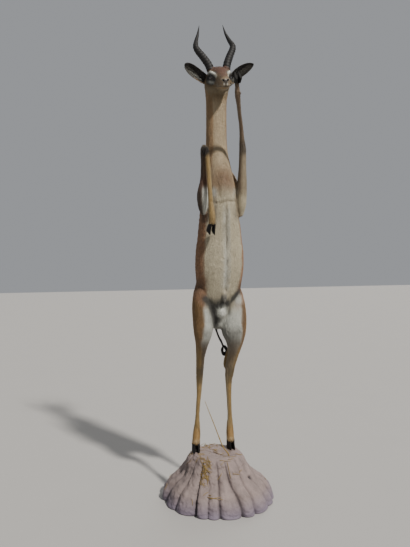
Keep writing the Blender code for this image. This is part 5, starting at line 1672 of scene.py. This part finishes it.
def build_horns(settings):
    tree = horn_tree()
    material = horn_material(settings.horn)
    for label, sign in (("left", 1.0), ("right", -1.0)):
        path = catmull([(sign * out, back, up) for out, back, up in HORN_PATH], 70)
        rows = []
        for i, place in enumerate(path):
            t = i / (len(path) - 1.0)
            radius = HORN_RADIUS * (1.0 - t ** 2.3) ** 1.05 + 0.0009
            rows.append((*level_point(*place), radius * 0.985))
        horn = line_object("horn_sheath_" + label, rows)
        modifier = horn.modifiers.new("rings", "NODES")
        modifier.node_group = tree
        set_inputs(modifier, {"Rows": 300, "Sides": 44, "Rings": float(settings.horn.rings) * 1.35,
                              "Ring Height": settings.horn.ring_height * 1.6, "Material": material})
        depsgraph = bpy.context.evaluated_depsgraph_get()
        mesh = bpy.data.meshes.new_from_object(horn.evaluated_get(depsgraph))
        bpy.data.objects.remove(horn, do_unlink=True)
        made = link("horn_sheath_" + label, mesh)
        made.data.shade_smooth()
        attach(made, "root")
        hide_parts("horn_" + label)


# Hooves
def hoof_material(hoof):
    mat, tree, shader = new_material("hoof_keratin", 0.60, Specular_IOR_Level=0.22)
    height = attribute(tree, "above_sole")
    bands = node(tree, "ShaderNodeTexNoise", {"W": maths(tree, "MULTIPLY", height, 420.0), "Detail": 3.0},
                 noise_dimensions="1D")
    mask = node(tree, "ShaderNodeMapRange", {"Value": bands.outputs["Fac"], "From Min": 0.4, "From Max": 0.7})
    base = mix(tree, mask.outputs[0], tuple(hoof.dark), tuple(hoof.light))
    base = mix(tree, maths(tree, "MULTIPLY", wear_mask(tree, 160.0), 0.5), base, tuple(hoof.dark))
    tree.links.new(base, shader.inputs["Base Color"])
    bump(tree, shader, bands.outputs["Fac"], 0.5, 0.0010)
    return mat


def spread_claw(points, coronet, toe, up):
    """Swing a claw of a raised foot away from its neighbour, about the top of the hoof."""
    rows = points - coronet
    across = np.cross(toe, up)
    sign = np.sign(rows.mean(axis=0) @ across)
    drop = np.clip(-(rows @ up), 0.0, None)
    return points + across * (sign * math.tan(CLAW_SPREAD) * drop)[:, None]


def build_hooves(settings):
    material = hoof_material(settings.hoof)
    for foot in FEET:
        coronet, toe, up = foot_axes(foot)
        for claw in ("inner", "outer"):
            name = "claw_" + foot + "_" + claw
            obj = link("hoof_" + foot + "_" + claw, mesh_from_bmesh(name, merged_copy(name)))
            remesh = obj.modifiers.new("fine", "REMESH")
            remesh.mode = "VOXEL"
            remesh.voxel_size = 0.0012
            remesh.adaptivity = 0.0
            even = obj.modifiers.new("even", "SMOOTH")
            even.factor = 0.5
            even.iterations = 5
            bake_modifiers(obj)
            points, normals = vertex_rows(obj.data)
            if FEET[foot][3]:
                points = spread_claw(points, np.array(coronet), np.array(toe), np.array(up))
                place_vertices(obj.data, points)
                points, normals = vertex_rows(obj.data)
            height = (points - np.array(coronet)) @ np.array(up) + 0.0432
            rings = np.sin(height / 0.0046 * 2.0 * math.pi + 0.8 * wobble(points, 160.0))
            side_wall = smooth(0.8, 0.3, np.abs(normals @ np.array(up)))
            rim = smooth(0.036, 0.041, height) * 0.0006
            points = points + normals * ((0.00018 * rings + rim) * side_wall)[:, None]
            place_vertices(obj.data, points)
            store(obj.data, "above_sole", "FLOAT", height)
            obj.data.shade_smooth()
            obj.data.materials.clear()
            obj.data.materials.append(material)
            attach(obj, "root")
            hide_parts(name)


def build_pads(settings):
    """The heel between the two claws of each foot, painted near black: its dark skin and painted shade in the gap.
    """
    material = coat_material("coat_hair", False)
    # Near black for the heel skin and for painted shade between the claws
    dark = np.array(settings.coat.dark) * 0.35
    for foot in FEET:
        coronet, toe, up = foot_axes(foot)
        reach = 0.42 if FEET[foot][3] else 1.0
        rows = []
        for drop, fore, radius in ((0.000, 0.000, 0.0050), (0.012, -0.001, 0.0066),
                                   (0.024, -0.002, 0.0062), (0.034, -0.002, 0.0040)):
            place = coronet - up * drop * reach + toe * fore
            rows.append((*place, radius))
        pad = link("heel_" + foot, sweep("heel_" + foot, catmull(rows, 14), 16))
        count = len(pad.data.vertices)
        store(pad.data, "coat", "FLOAT_COLOR", np.tile(dark, (count, 1)))
        store(pad.data, "tone", "FLOAT", np.full(count, 0.5))
        pad.data.shade_smooth()
        pad.data.materials.append(material)
        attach(pad, "root")


# Tail
def build_tail(settings):
    """The dark shaft with short hair and the curled tuft at its end."""
    coat = settings.coat
    line = catmull(TAIL_LINE, 60)
    shaft = link("tail_shaft", sweep("tail_shaft", line, 14))
    rng = np.random.default_rng(12)
    tangents = unit(np.gradient(line[:, :3], axis=0))
    count = 2600
    picks = rng.integers(0, 56, count)
    share = picks / 59.0
    tangent = tangents[picks]
    angle = rng.random(count) * 2.0 * math.pi
    first = unit(np.cross(tangent, (0.2, 1.0, 0.1)))
    second = np.cross(tangent, first)
    out = first * np.cos(angle)[:, None] + second * np.sin(angle)[:, None]
    roots = line[picks, :3] + out * (line[picks, 3] * 0.9)[:, None]
    lengths = 0.012 + 0.012 * rng.random(count) + 0.010 * smooth(0.6, 0.9, share)
    directions = tangent + out * 0.16 + rng.normal(0.0, 0.05, (count, 3))
    bends = out * -0.10
    dark = np.array(coat.dark) * 0.45
    brown = np.array(coat.brown) * 0.6
    shades = dark + (brown - dark) * (smooth(0.35, 0.05, share) * rng.random(count))[:, None]
    short = strands("tail_hair", roots, directions, bends, lengths, np.full(count, 0.00055), shades, 3)
    hair = link("tail_hair", short)
    tuft = link("tail_tuft", tuft_mesh(line, dark, rng))
    locks = coat_material("coat_hair", False)
    for obj in (shaft, hair, tuft):
        obj.data.materials.clear()
        obj.data.materials.append(locks)
        obj.data.shade_smooth()
    store(shaft.data, "coat", "FLOAT_COLOR", np.tile(dark, (len(shaft.data.vertices), 1)))
    store(shaft.data, "tone", "FLOAT", np.full(len(shaft.data.vertices), 0.5))
    for obj in (shaft, hair, tuft):
        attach(obj, "root")
    unwrap(hair.data, 0.003)
    unwrap(tuft.data, 0.003)
    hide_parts("tail")


def tuft_mesh(line, dark, rng):
    """Long hair from the last part of the shaft, curled round in a loose ring."""
    count = 900
    centre = np.array((0.069, 0.122, 0.748))
    right = np.array((0.97, -0.24, 0.0))
    down = np.array((0.0, 0.0, -1.0))
    depth = np.cross(right, down)
    rows = []
    pattern = []
    steps = 15
    for i in range(count):
        start = rng.random() * 0.35
        spread = 1.0 + rng.normal(0.0, 0.17)
        lift = rng.normal(0.0, 0.0035)
        radius_x, radius_z = 0.0125 * spread, 0.0185 * spread
        sweep_angle = 2.0 * math.pi * (0.55 + 0.40 * rng.random())
        turn = 1.0 if i % 2 else -1.0
        width = 0.00085
        previous = None
        for k in range(steps):
            t = k / (steps - 1.0)
            angle = -math.pi / 2.0 - 0.3 + turn * (start + sweep_angle * t)
            ring = right * math.cos(angle) * radius_x + down * math.sin(angle) * radius_z
            ring = ring * (1.0 + 0.10 * math.sin(7.0 * t + i))
            place = centre + ring + depth * (lift + 0.004 * math.sin(3.0 * t + i))
            if k == 0:
                place = 0.6 * place + 0.4 * line[-1, :3]
            half = width * max(1.0 - t ** 3, 0.1)
            across = ring / np.linalg.norm(ring)
            rows += [place - across * half, place + across * half, place + depth * half * 1.2]
            if previous is not None:
                a, b = previous, len(rows) - 3
                for m in range(3):
                    n = (m + 1) % 3
                    pattern += [(a + m, a + n, b + n, b + m)]
            else:
                pattern.append((len(rows) - 3, len(rows) - 1, len(rows) - 2))
            previous = len(rows) - 3
        pattern.append((len(rows) - 3, len(rows) - 2, len(rows) - 1))
    mesh = mesh_from_arrays("tail_tuft", rows, pattern)
    per = 3 * steps
    tones = rng.random(count)
    store(mesh, "coat", "FLOAT_COLOR", np.tile(dark * 0.9, (len(rows), 1)))
    store(mesh, "tone", "FLOAT", np.repeat(tones, per))
    roots = np.repeat(np.array(rows)[::per], per, axis=0)
    store(mesh, "root", "FLOAT_VECTOR", roots)
    patch = np.tile(np.stack([np.tile((0.1, 0.9, 0.5), steps), np.repeat(np.linspace(0, 1, steps), 3),
                              np.zeros(per)], axis=1), (count, 1))
    store(mesh, "patch", "FLOAT_VECTOR", patch)
    return mesh


# Longer hair of the head and ears
def surface_picks(skin, weight, count, rng):
    """Random places on the skin's vertices by weight: points, normals, lie and markings."""
    points, normals = vertex_rows(skin.data)
    picks = rng.choice(len(points), size=count, p=weight / weight.sum())
    lie = np.empty(3 * len(points), dtype=np.float32)
    skin.data.attributes["lie"].data.foreach_get("vector", lie)
    painted = np.empty(4 * len(points), dtype=np.float32)
    skin.data.attributes["coat"].data.foreach_get("color", painted)
    jitter = rng.normal(0.0, 0.0008, (count, 3))
    return (points[picks] + jitter, normals[picks], lie.reshape(-1, 3)[picks].astype(float),
            painted.reshape(-1, 4)[picks, :3].astype(float))


def ear_hair(skin, settings, rng):
    """White hair that grows from the root of each ear outwards inside its cup."""
    coat = settings.coat
    points, normals = vertex_rows(skin.data)
    meshes = []
    for label in ("left", "right"):
        root, tip, edge, opening = (np.array(v) for v in ear_frame(label))
        axis = tip - root
        length = np.linalg.norm(axis)
        axis = axis / length
        rows = points - root
        share = rows @ axis / length
        across = rows @ edge
        near = (share > 0.02) & (share < 0.9) & (np.abs(across) < 0.05) & (np.abs(rows @ opening) < 0.045)
        facing = smooth(0.2, 0.6, normals @ opening) * near
        stripes = bump_at(across, -0.013, 0.004) + 0.7 * bump_at(across, 0.002, 0.003) * smooth(0.45, 0.6, share)
        weight = facing * (stripes + 0.01) * smooth(0.84, 0.62, share) + 1e-12
        picked, facing_out, lie, _ = surface_picks(skin, weight, 240, rng)
        count = len(picked)
        directions = axis[None] + facing_out * 0.30 + rng.normal(0.0, 0.10, (count, 3))
        lengths = 0.016 + 0.014 * rng.random(count)
        shades = np.tile(np.array(coat.white), (count, 1)) * (0.40 + 0.30 * rng.random(count))[:, None]
        meshes.append(strands("ear_hair_" + label, picked, directions, -facing_out * 0.22, lengths,
                              np.full(count, 0.00030), shades, 4))
    return meshes


def lashes(label, sign, shade, rng):
    """Upper and lower lashes along the lid's edge."""
    centre, *axes = (eye_frame(sign))
    roots, directions, bends, lengths = [], [], [], []
    for i in range(150):
        upper = i < 105
        angle = math.radians(rng.uniform(14.0, 168.0) if upper else rng.uniform(-150.0, -30.0))
        direction = np.array(eye_direction(axes, *lid_edge(angle, 1.05)))
        outward = np.array(axes[0])
        roots.append(np.array(centre) + direction * (EYE_RADIUS + 0.0018))
        lift = np.array(axes[2]) * (1.0 if upper else -1.0)
        directions.append(direction * 0.9 + outward * 0.3 + lift * 0.35 + rng.normal(0.0, 0.08, 3))
        bends.append(lift * (0.35 if upper else 0.2))
        lengths.append((0.0085 if upper else 0.0045) * rng.uniform(0.7, 1.1))
    count = len(roots)
    return strands("lashes_" + label, np.array(roots), np.array(directions), np.array(bends),
                   np.array(lengths), np.full(count, 0.00018), np.tile(shade, (count, 1)), 4)


def fringe(skin, settings, rng):
    """Longer hair over the coronets, on the knees, chin, sheath and belly line, and whiskers."""
    coat = settings.coat
    points, normals = vertex_rows(skin.data)
    meshes = []

    def grow(name, weight, count, length, lift, width, shade=None, bend=-0.15):
        picked, out, lie, painted = surface_picks(skin, weight + 1e-12, count, rng)
        shades = painted if shade is None else np.tile(shade, (count, 1))
        shades = np.clip(shades * (0.8 + 0.4 * rng.random(count))[:, None], 0.0, 1.0)
        directions = lie + out * lift + rng.normal(0.0, 0.08, (count, 3))
        lengths = length * (0.7 + 0.5 * rng.random(count))
        meshes.append(strands(name, picked, directions, out * bend, lengths,
                              np.full(count, width), shades, 3))

    z = points[:, 2]
    standing = smooth(0.312, 0.302, z) * (z > 0.292)
    grow("coronet_hair", standing, 900, 0.011, 0.25, 0.0005, None, -0.10)
    for foot in ("fore_left", "fore_right"):
        coronet, _, _ = foot_axes(foot)
        along = np.array(Vector(FEET[foot][1]).normalized())
        gap = (points - np.array(coronet)) @ along
        near = np.linalg.norm(points - np.array(coronet), axis=1) < 0.04
        grow("coronet_hair_" + foot, near * smooth(-0.018, -0.008, gap), 450, 0.010, 0.22, 0.0005)
    for side in ("left", "right"):
        grow("knee_brush_" + side, knee_mask(points, side) ** 2, 700, 0.013, 0.35, 0.0006)
    side, fore, up = head_coordinates(points).T
    chin = smooth(-0.036, -0.042, up) * bump_at(fore, 0.158, 0.016) * smooth(0.02, 0.008, np.abs(side))
    grow("chin_hair", chin, 160, 0.012, 0.7, 0.00028, np.array(coat.white) * 0.9, -0.3)
    lips = smooth(0.145, 0.165, fore) * bump_at(up, -0.022, 0.010) * smooth(0.012, 0.020, np.abs(side))
    grow("whiskers", lips, 46, 0.022, 1.3, 0.00012, np.array(coat.dark), -0.2)
    sheath = np.exp(-(np.linalg.norm(points - np.array((0.004, -0.108, 1.052)), axis=1) / 0.012) ** 2)
    grow("sheath_hair", sheath, 220, 0.016, 0.4, 0.0005, np.array(coat.grey) * 0.9, -0.2)
    return meshes


def build_long_hair(skin, settings):
    rng = np.random.default_rng(21)
    meshes = ear_hair(skin, settings, rng)
    for label, sign in (("left", 1.0), ("right", -1.0)):
        meshes.append(lashes(label, sign, np.array(settings.coat.dark) * 0.35, rng))
    meshes += fringe(skin, settings, rng)
    material = coat_material("coat_hair", False)
    for mesh in meshes:
        obj = link(mesh.name, mesh)
        mesh.materials.append(material)
        unwrap(mesh, 0.003)
        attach(obj, "root")


# Mound and straw
def mound_surface(theta, radius_share, height_share):
    """Places on the mound at angles and profile rows, with how deep in a groove each is."""
    grooves, strength = np.array(MOUND_GROOVES).T
    grooves = np.radians(grooves)
    slope = 1.0 - height_share
    drift = 0.30 * (1.0 - radius_share) * np.sin(3.0 * theta + 1.0) + 0.10 * np.sin(9.0 * theta + 5.0 * radius_share)
    angle = np.mod(theta + drift * 0.35, 2.0 * math.pi)
    nearest = np.full(theta.shape, 9.0)
    width = np.full(theta.shape, 0.2)
    sharp = np.ones(theta.shape)
    for i, groove in enumerate(grooves):
        after = grooves[(i + 1) % len(grooves)] + (2.0 * math.pi if i + 1 == len(grooves) else 0.0)
        inside = np.mod(angle - groove, 2.0 * math.pi)
        span = after - groove
        within = inside < span
        gap = np.minimum(inside, span - inside)
        nearest = np.where(within, gap, nearest)
        width = np.where(within, span, width)
        share = inside / span
        sharp = np.where(within, strength[i] * (1.0 - share) + strength[(i + 1) % len(grooves)] * share, sharp)
    bulge = np.sqrt(np.clip(1.0 - (1.0 - 2.0 * nearest / width) ** 2, 0.0, 1.0))
    uneven = 0.028 * np.sin(3.0 * theta + 0.4) + 0.030 * np.cos(4.0 * theta + 4.19)
    depth = 0.150 * np.clip(slope * 2.4, 0.0, 1.0) * (width / 0.39)
    radius = MOUND_RADIUS * (radius_share * (1.0 + depth * sharp * (bulge - 1.0)) + uneven * slope * 0.6)
    return radius, (1.0 - bulge) * sharp


def rough_field(points, scale, octaves):
    """Uneven heights between about -1 and 1 from layered noise."""
    return np.array([noise.fractal(Vector(p) * scale, 0.9, 2.1, octaves) for p in points])


def build_mound(settings):
    columns, rows = ((460, 118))
    profile = catmull(MOUND_PROFILE, rows)
    theta, index = np.meshgrid(np.linspace(0.0, 2.0 * math.pi, columns, endpoint=False), np.arange(rows))
    radius_share = np.clip(profile[index, 0], 0.0, 1.0)
    height_share = np.clip(profile[index, 1], 0.0, 1.0)
    radius, groove = mound_surface(theta, radius_share, height_share)
    x = MOUND_TOP_SHIFT.x * height_share + radius * np.cos(theta)
    y = MOUND_TOP_SHIFT.y * height_share + radius * np.sin(theta)
    points = np.stack([x, y, MOUND_HEIGHT * height_share], axis=-1).reshape(-1, 3)
    groove = groove.reshape(-1)
    share = height_share.reshape(-1)
    free = np.ones(len(points))
    for foot in ("hind_left", "hind_right"):
        coronet = np.array(FEET[foot][0])
        reach = np.hypot(points[:, 0] - coronet[0], points[:, 1] - coronet[1] + 0.01)
        free *= smooth(0.035, 0.060, reach)
    lumps = rough_field(points, 11.0, 4)
    grit = rough_field(points, 70.0, 3)
    outward = unit(np.stack([points[:, 0], points[:, 1], np.zeros(len(points))], axis=1))
    steep = smooth(0.999, 0.95, share)
    low = smooth(0.0, 0.08, share)
    hole = np.exp(-(np.linalg.norm(points - np.array(MOUND_HOLE), axis=1) / 0.0095) ** 2)
    points += outward * ((0.0120 * lumps + 0.0024 * grit - 0.0050) * steep * low - 0.012 * hole)[:, None]
    points[:, 2] += (0.0050 * lumps + 0.0018 * grit - 0.0045) * (1.0 - steep) * free
    hollow = np.exp(-((points[:, 0] - 0.028) / 0.05) ** 2 - ((points[:, 1] + 0.075) / 0.03) ** 2)
    points[:, 2] -= 0.010 * hollow * free * (1.0 - steep)
    points[:, 2] = np.clip(points[:, 2], 0.0, MOUND_HEIGHT)
    faces = []
    for i in range(rows - 1):
        start, below = i * columns, (i + 1) * columns
        for k in range(columns):
            j = (k + 1) % columns
            faces.append((start + k, below + k, below + j, start + j))
    last = (rows - 1) * columns
    faces.append(tuple(range(last + columns - 1, last - 1, -1)))
    mesh = mesh_from_arrays("mound_cast", points, faces)
    # The groove mask is painted shade, strongest deep in the grooves and in the hole
    store(mesh, "groove", "FLOAT", np.clip(1.25 * groove ** 1.8 * smooth(0.99, 0.90, share) + 2.6 * hole, 0.0, 1.0))
    bm = bmesh.new()
    bm.from_mesh(mesh)
    bmesh.ops.remove_doubles(bm, verts=bm.verts, dist=1e-7)
    bmesh.ops.recalc_face_normals(bm, faces=bm.faces)
    bm.to_mesh(mesh)
    bm.free()
    mound = link("mound_cast", mesh)
    mesh.shade_smooth()
    mesh.materials.append(mound_material(settings.mound))
    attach(mound, "root")
    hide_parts("base_mound")
    return mound


def mound_material(mound):
    mat, tree, shader = new_material("mound_cast", 0.82)
    place = node(tree, "ShaderNodeTexCoord").outputs["Object"]
    height = node(tree, "ShaderNodeSeparateXYZ", {0: place}).outputs[2]
    foot = node(tree, "ShaderNodeMapRange", {"Value": height, "From Min": 0.085, "From Max": 0.015})
    base = mix(tree, wear_mask(tree, 22.0), tuple(mound.stone), tuple(c * 0.74 for c in mound.stone))
    base = mix(tree, maths(tree, "MULTIPLY", foot.outputs[0], 0.75), base, tuple(mound.lilac))
    # Painted shade in the grooves and the hole
    base = mix(tree, maths(tree, "MULTIPLY", attribute(tree, "groove"), 0.95), base, tuple(mound.groove))
    specks = node(tree, "ShaderNodeTexNoise", {"Vector": place, "Scale": 420.0, "Detail": 5.0})
    grit = node(tree, "ShaderNodeMapRange", {"Value": specks.outputs["Fac"], "From Min": 0.35,
                                             "From Max": 0.65, "To Min": 0.86, "To Max": 1.10})
    speckled = node(tree, "ShaderNodeVectorMath", {0: base}, operation="SCALE")
    tree.links.new(grit.outputs[0], speckled.inputs["Scale"])
    tree.links.new(speckled.outputs[0], shader.inputs["Base Color"])
    bump(tree, shader, specks.outputs["Fac"], 0.5, 0.0018)
    return mat


def straw_material(mound):
    mat, tree, shader = new_material("straw", 0.55)
    grain = node(tree, "ShaderNodeTexNoise", {"Vector": node(tree, "ShaderNodeTexCoord").outputs["Object"],
                                              "Scale": 160.0, "Detail": 4.0})
    base = mix(tree, grain.outputs["Fac"], tuple(c * 0.6 for c in mound.straw), tuple(mound.straw))
    tree.links.new(base, shader.inputs["Base Color"])
    bump(tree, shader, grain.outputs["Fac"], 0.3, 0.0006)
    return mat


def laid_straw(tree, start, end, rng):
    """A straw that follows the mound between two places given as an angle and a height."""
    rows = []
    profile = np.array(MOUND_PROFILE)[::-1]
    for t in np.linspace(0.0, 1.0, 12):
        angle = math.radians(start[0] + (end[0] - start[0]) * t)
        share = (start[1] + (end[1] - start[1]) * t) / MOUND_HEIGHT
        reach = MOUND_RADIUS * np.interp(share, profile[:, 1], profile[:, 0])
        place = Vector((MOUND_TOP_SHIFT.x * share + reach * math.cos(angle),
                        MOUND_TOP_SHIFT.y * share + reach * math.sin(angle), MOUND_HEIGHT * share))
        ground, normal, _, _ = tree.find_nearest(place)
        lift = 0.0016 + 0.004 * math.sin(math.pi * t) * rng.random()
        rows.append((*(ground + normal * lift), 0.0014 * (1.0 - 0.4 * t)))
    return sweep("straw", rows, 6)


def straw_pieces(mound, rng):
    """Loose straws on the mound: some as a clump on its front shoulder, some scattered."""
    points, normals = vertex_rows(mound.data)
    bm = bmesh.new()
    bm.from_mesh(mound.data)
    tree = BVHTree.FromBMesh(bm)
    bm.free()
    meshes = [laid_straw(tree, start, end, rng) for start, end in LAID_STRAWS]
    places = []
    angle = np.degrees(np.arctan2(points[:, 1] - MOUND_TOP_SHIFT.y, points[:, 0] - MOUND_TOP_SHIFT.x)) % 360.0
    height = points[:, 2]
    shoulder = np.flatnonzero((angle > 227.0) & (angle < 243.0) & (height > 0.135) & (height < 0.240))
    top = np.flatnonzero(height > 0.236)
    slope = np.flatnonzero((height > 0.06) & (height < 0.235))
    for group, count, length in ((shoulder, 46, 0.034), (top, 46, 0.050), (slope, 22, 0.040)):
        for _ in range(count):
            i = rng.choice(group)
            places.append((points[i], normals[i], length * rng.uniform(0.5, 1.3)))
    for centre, normal, length in places:
        drift = rng.normal(0.0, 1.0, 3)
        along = np.cross(normal, drift)
        along = along / np.linalg.norm(along)
        bend = normal * rng.uniform(0.0, 0.22) + np.cross(normal, along) * rng.normal(0.0, 0.15)
        radius = rng.uniform(0.0007, 0.0015)
        rows = []
        for t in np.linspace(-0.5, 0.5, 7):
            place = centre + normal * (radius + 0.0008) + along * (length * t) + bend * length * (t * t)
            rows.append((*place, radius * (1.0 - 0.5 * abs(t))))
        meshes.append(sweep("straw", rows, 6))
    return meshes


def build_straw(mound, settings):
    rng = np.random.default_rng(5)
    material = straw_material(settings.mound)
    line = catmull(STALK_LINE, 60)
    for share in (0.18, 0.46, 0.72):
        line[:, 3] += 0.0005 * bump_at(np.linspace(0.0, 1.0, 60), share, 0.02)
    stalk = link("straw_stem", sweep("straw_stem", line, 12))
    bm = bmesh.new()
    for mesh in straw_pieces(mound, rng):
        bm.from_mesh(mesh)
        bpy.data.meshes.remove(mesh)
    low, high = CAD_BOX[0].z + 0.0008, 0.30
    for vert in bm.verts:
        vert.co.z = min(max(vert.co.z, low), high)
    scattered = link("straw_litter", mesh_from_bmesh("straw_litter", bm))
    for obj in (stalk, scattered):
        obj.data.shade_smooth()
        obj.data.materials.append(material)
        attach(obj, "root")
    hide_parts("straw_stalk")


# Stage
def build_stage(settings):
    stage = settings.stage
    scene = bpy.context.scene
    bm = bmesh.new()
    bmesh.ops.create_grid(bm, x_segments=1, y_segments=1, size=14.0)
    floor = link("floor", mesh_from_bmesh("floor", bm))
    mat, tree, shader = new_material("floor_paint", 0.85)
    cloud = node(tree, "ShaderNodeTexNoise", {"Vector": node(tree, "ShaderNodeTexCoord").outputs["Object"],
                                              "Scale": 3.0, "Detail": 2.0})
    base = mix(tree, cloud.outputs["Fac"], tuple(stage.floor), tuple(c * 0.97 for c in stage.floor))
    tree.links.new(base, shader.inputs["Base Color"])
    floor.data.materials.append(mat)

    world = bpy.data.worlds.new("studio")
    world.use_nodes = True
    background = world.node_tree.nodes["Background"]
    background.inputs["Color"].default_value = (0.92, 0.95, 1.0, 1.0)
    background.inputs["Strength"].default_value = stage.fill
    scene.world = world

    for name, strength, aim, spread in (("key", stage.key, (0.42, -1.04, 1.17), 4.0),
                                        ("rim", stage.rim, (0.75, 1.20, 0.80), 40.0)):
        sun = bpy.data.lights.new(name, "SUN")
        sun.energy = strength
        sun.angle = math.radians(spread)
        sun.color = (1.0, 0.96, 0.90)
        lamp = bpy.data.objects.new(name, sun)
        lamp.rotation_euler = Vector(aim).to_track_quat("Z", "Y").to_euler()
        scene.collection.objects.link(lamp)

    lens = bpy.data.cameras.new("camera")
    lens.sensor_width = 36.0
    lens.lens = CAMERA_LENS
    lens.shift_y = CAMERA_SHIFT
    camera = bpy.data.objects.new("camera", lens)
    camera.location = CAMERA_PLACE
    camera.rotation_euler = (math.radians(90.0), 0.0, math.radians(-15.0))
    scene.collection.objects.link(camera)
    scene.camera = camera


# Operators and panel
class GERENUK_OT_skin(bpy.types.Operator):
    """Build the skin and the locks of the coat over it"""
    bl_idname = "gerenuk.skin"
    bl_label = "Skin and coat"

    def execute(self, context):
        settings = context.scene.gerenuk
        skin = build_skin(settings)
        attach(skin, "root")
        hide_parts(*FLESH)
        for piece in build_coat(skin, settings):
            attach(piece, "root")
        build_long_hair(skin, settings)
        return {"FINISHED"}


class GERENUK_OT_eyes(bpy.types.Operator):
    """Build the eyes and the rims of their lids"""
    bl_idname = "gerenuk.eyes"
    bl_label = "Eyes"

    def execute(self, context):
        build_eyes(context.scene.gerenuk)
        return {"FINISHED"}


class GERENUK_OT_horns(bpy.types.Operator):
    """Build the two ringed horns"""
    bl_idname = "gerenuk.horns"
    bl_label = "Horns"

    def execute(self, context):
        build_horns(context.scene.gerenuk)
        return {"FINISHED"}


class GERENUK_OT_hooves(bpy.types.Operator):
    """Build the eight claws"""
    bl_idname = "gerenuk.hooves"
    bl_label = "Hooves"

    def execute(self, context):
        build_hooves(context.scene.gerenuk)
        build_pads(context.scene.gerenuk)
        return {"FINISHED"}


class GERENUK_OT_tail(bpy.types.Operator):
    """Build the tail and its curled tuft"""
    bl_idname = "gerenuk.tail"
    bl_label = "Tail"

    def execute(self, context):
        build_tail(context.scene.gerenuk)
        return {"FINISHED"}


class GERENUK_OT_mound(bpy.types.Operator):
    """Build the mound and the straw on it"""
    bl_idname = "gerenuk.mound"
    bl_label = "Mound and straw"

    def execute(self, context):
        settings = context.scene.gerenuk
        build_straw(build_mound(settings), settings)
        return {"FINISHED"}


class GERENUK_OT_stage(bpy.types.Operator):
    """Build the floor, lights and camera"""
    bl_idname = "gerenuk.stage"
    bl_label = "Stage"

    def execute(self, context):
        build_stage(context.scene.gerenuk)
        return {"FINISHED"}


class GERENUK_PT_build(bpy.types.Panel):
    """Lists the steps that build the model"""
    bl_label = "Gerenuk"
    bl_idname = "GERENUK_PT_build"
    bl_space_type = "VIEW_3D"
    bl_region_type = "UI"
    bl_category = "Gerenuk"

    def draw(self, context):
        for operator in OPERATORS:
            self.layout.operator(operator.bl_idname)


OPERATORS = (GERENUK_OT_skin, GERENUK_OT_eyes, GERENUK_OT_horns, GERENUK_OT_hooves,
             GERENUK_OT_tail, GERENUK_OT_mound, GERENUK_OT_stage)
CLASSES = (GerenukCoatSettings, GerenukHornSettings, GerenukEyeSettings, GerenukHoofSettings,
           GerenukMoundSettings, GerenukStageSettings, GerenukSettings, *OPERATORS,
           GERENUK_PT_build)


def register():
    for cls in CLASSES:
        bpy.utils.register_class(cls)
    bpy.types.Scene.gerenuk = PointerProperty(type=GerenukSettings)


def unregister():
    del bpy.types.Scene.gerenuk
    for cls in reversed(CLASSES):
        bpy.utils.unregister_class(cls)


def main():
    register()
    bpy.ops.gerenuk.skin()
    bpy.ops.gerenuk.eyes()
    bpy.ops.gerenuk.horns()
    bpy.ops.gerenuk.hooves()
    bpy.ops.gerenuk.tail()
    bpy.ops.gerenuk.mound()
    bpy.ops.gerenuk.stage()


if __name__ == "__main__":
    main()
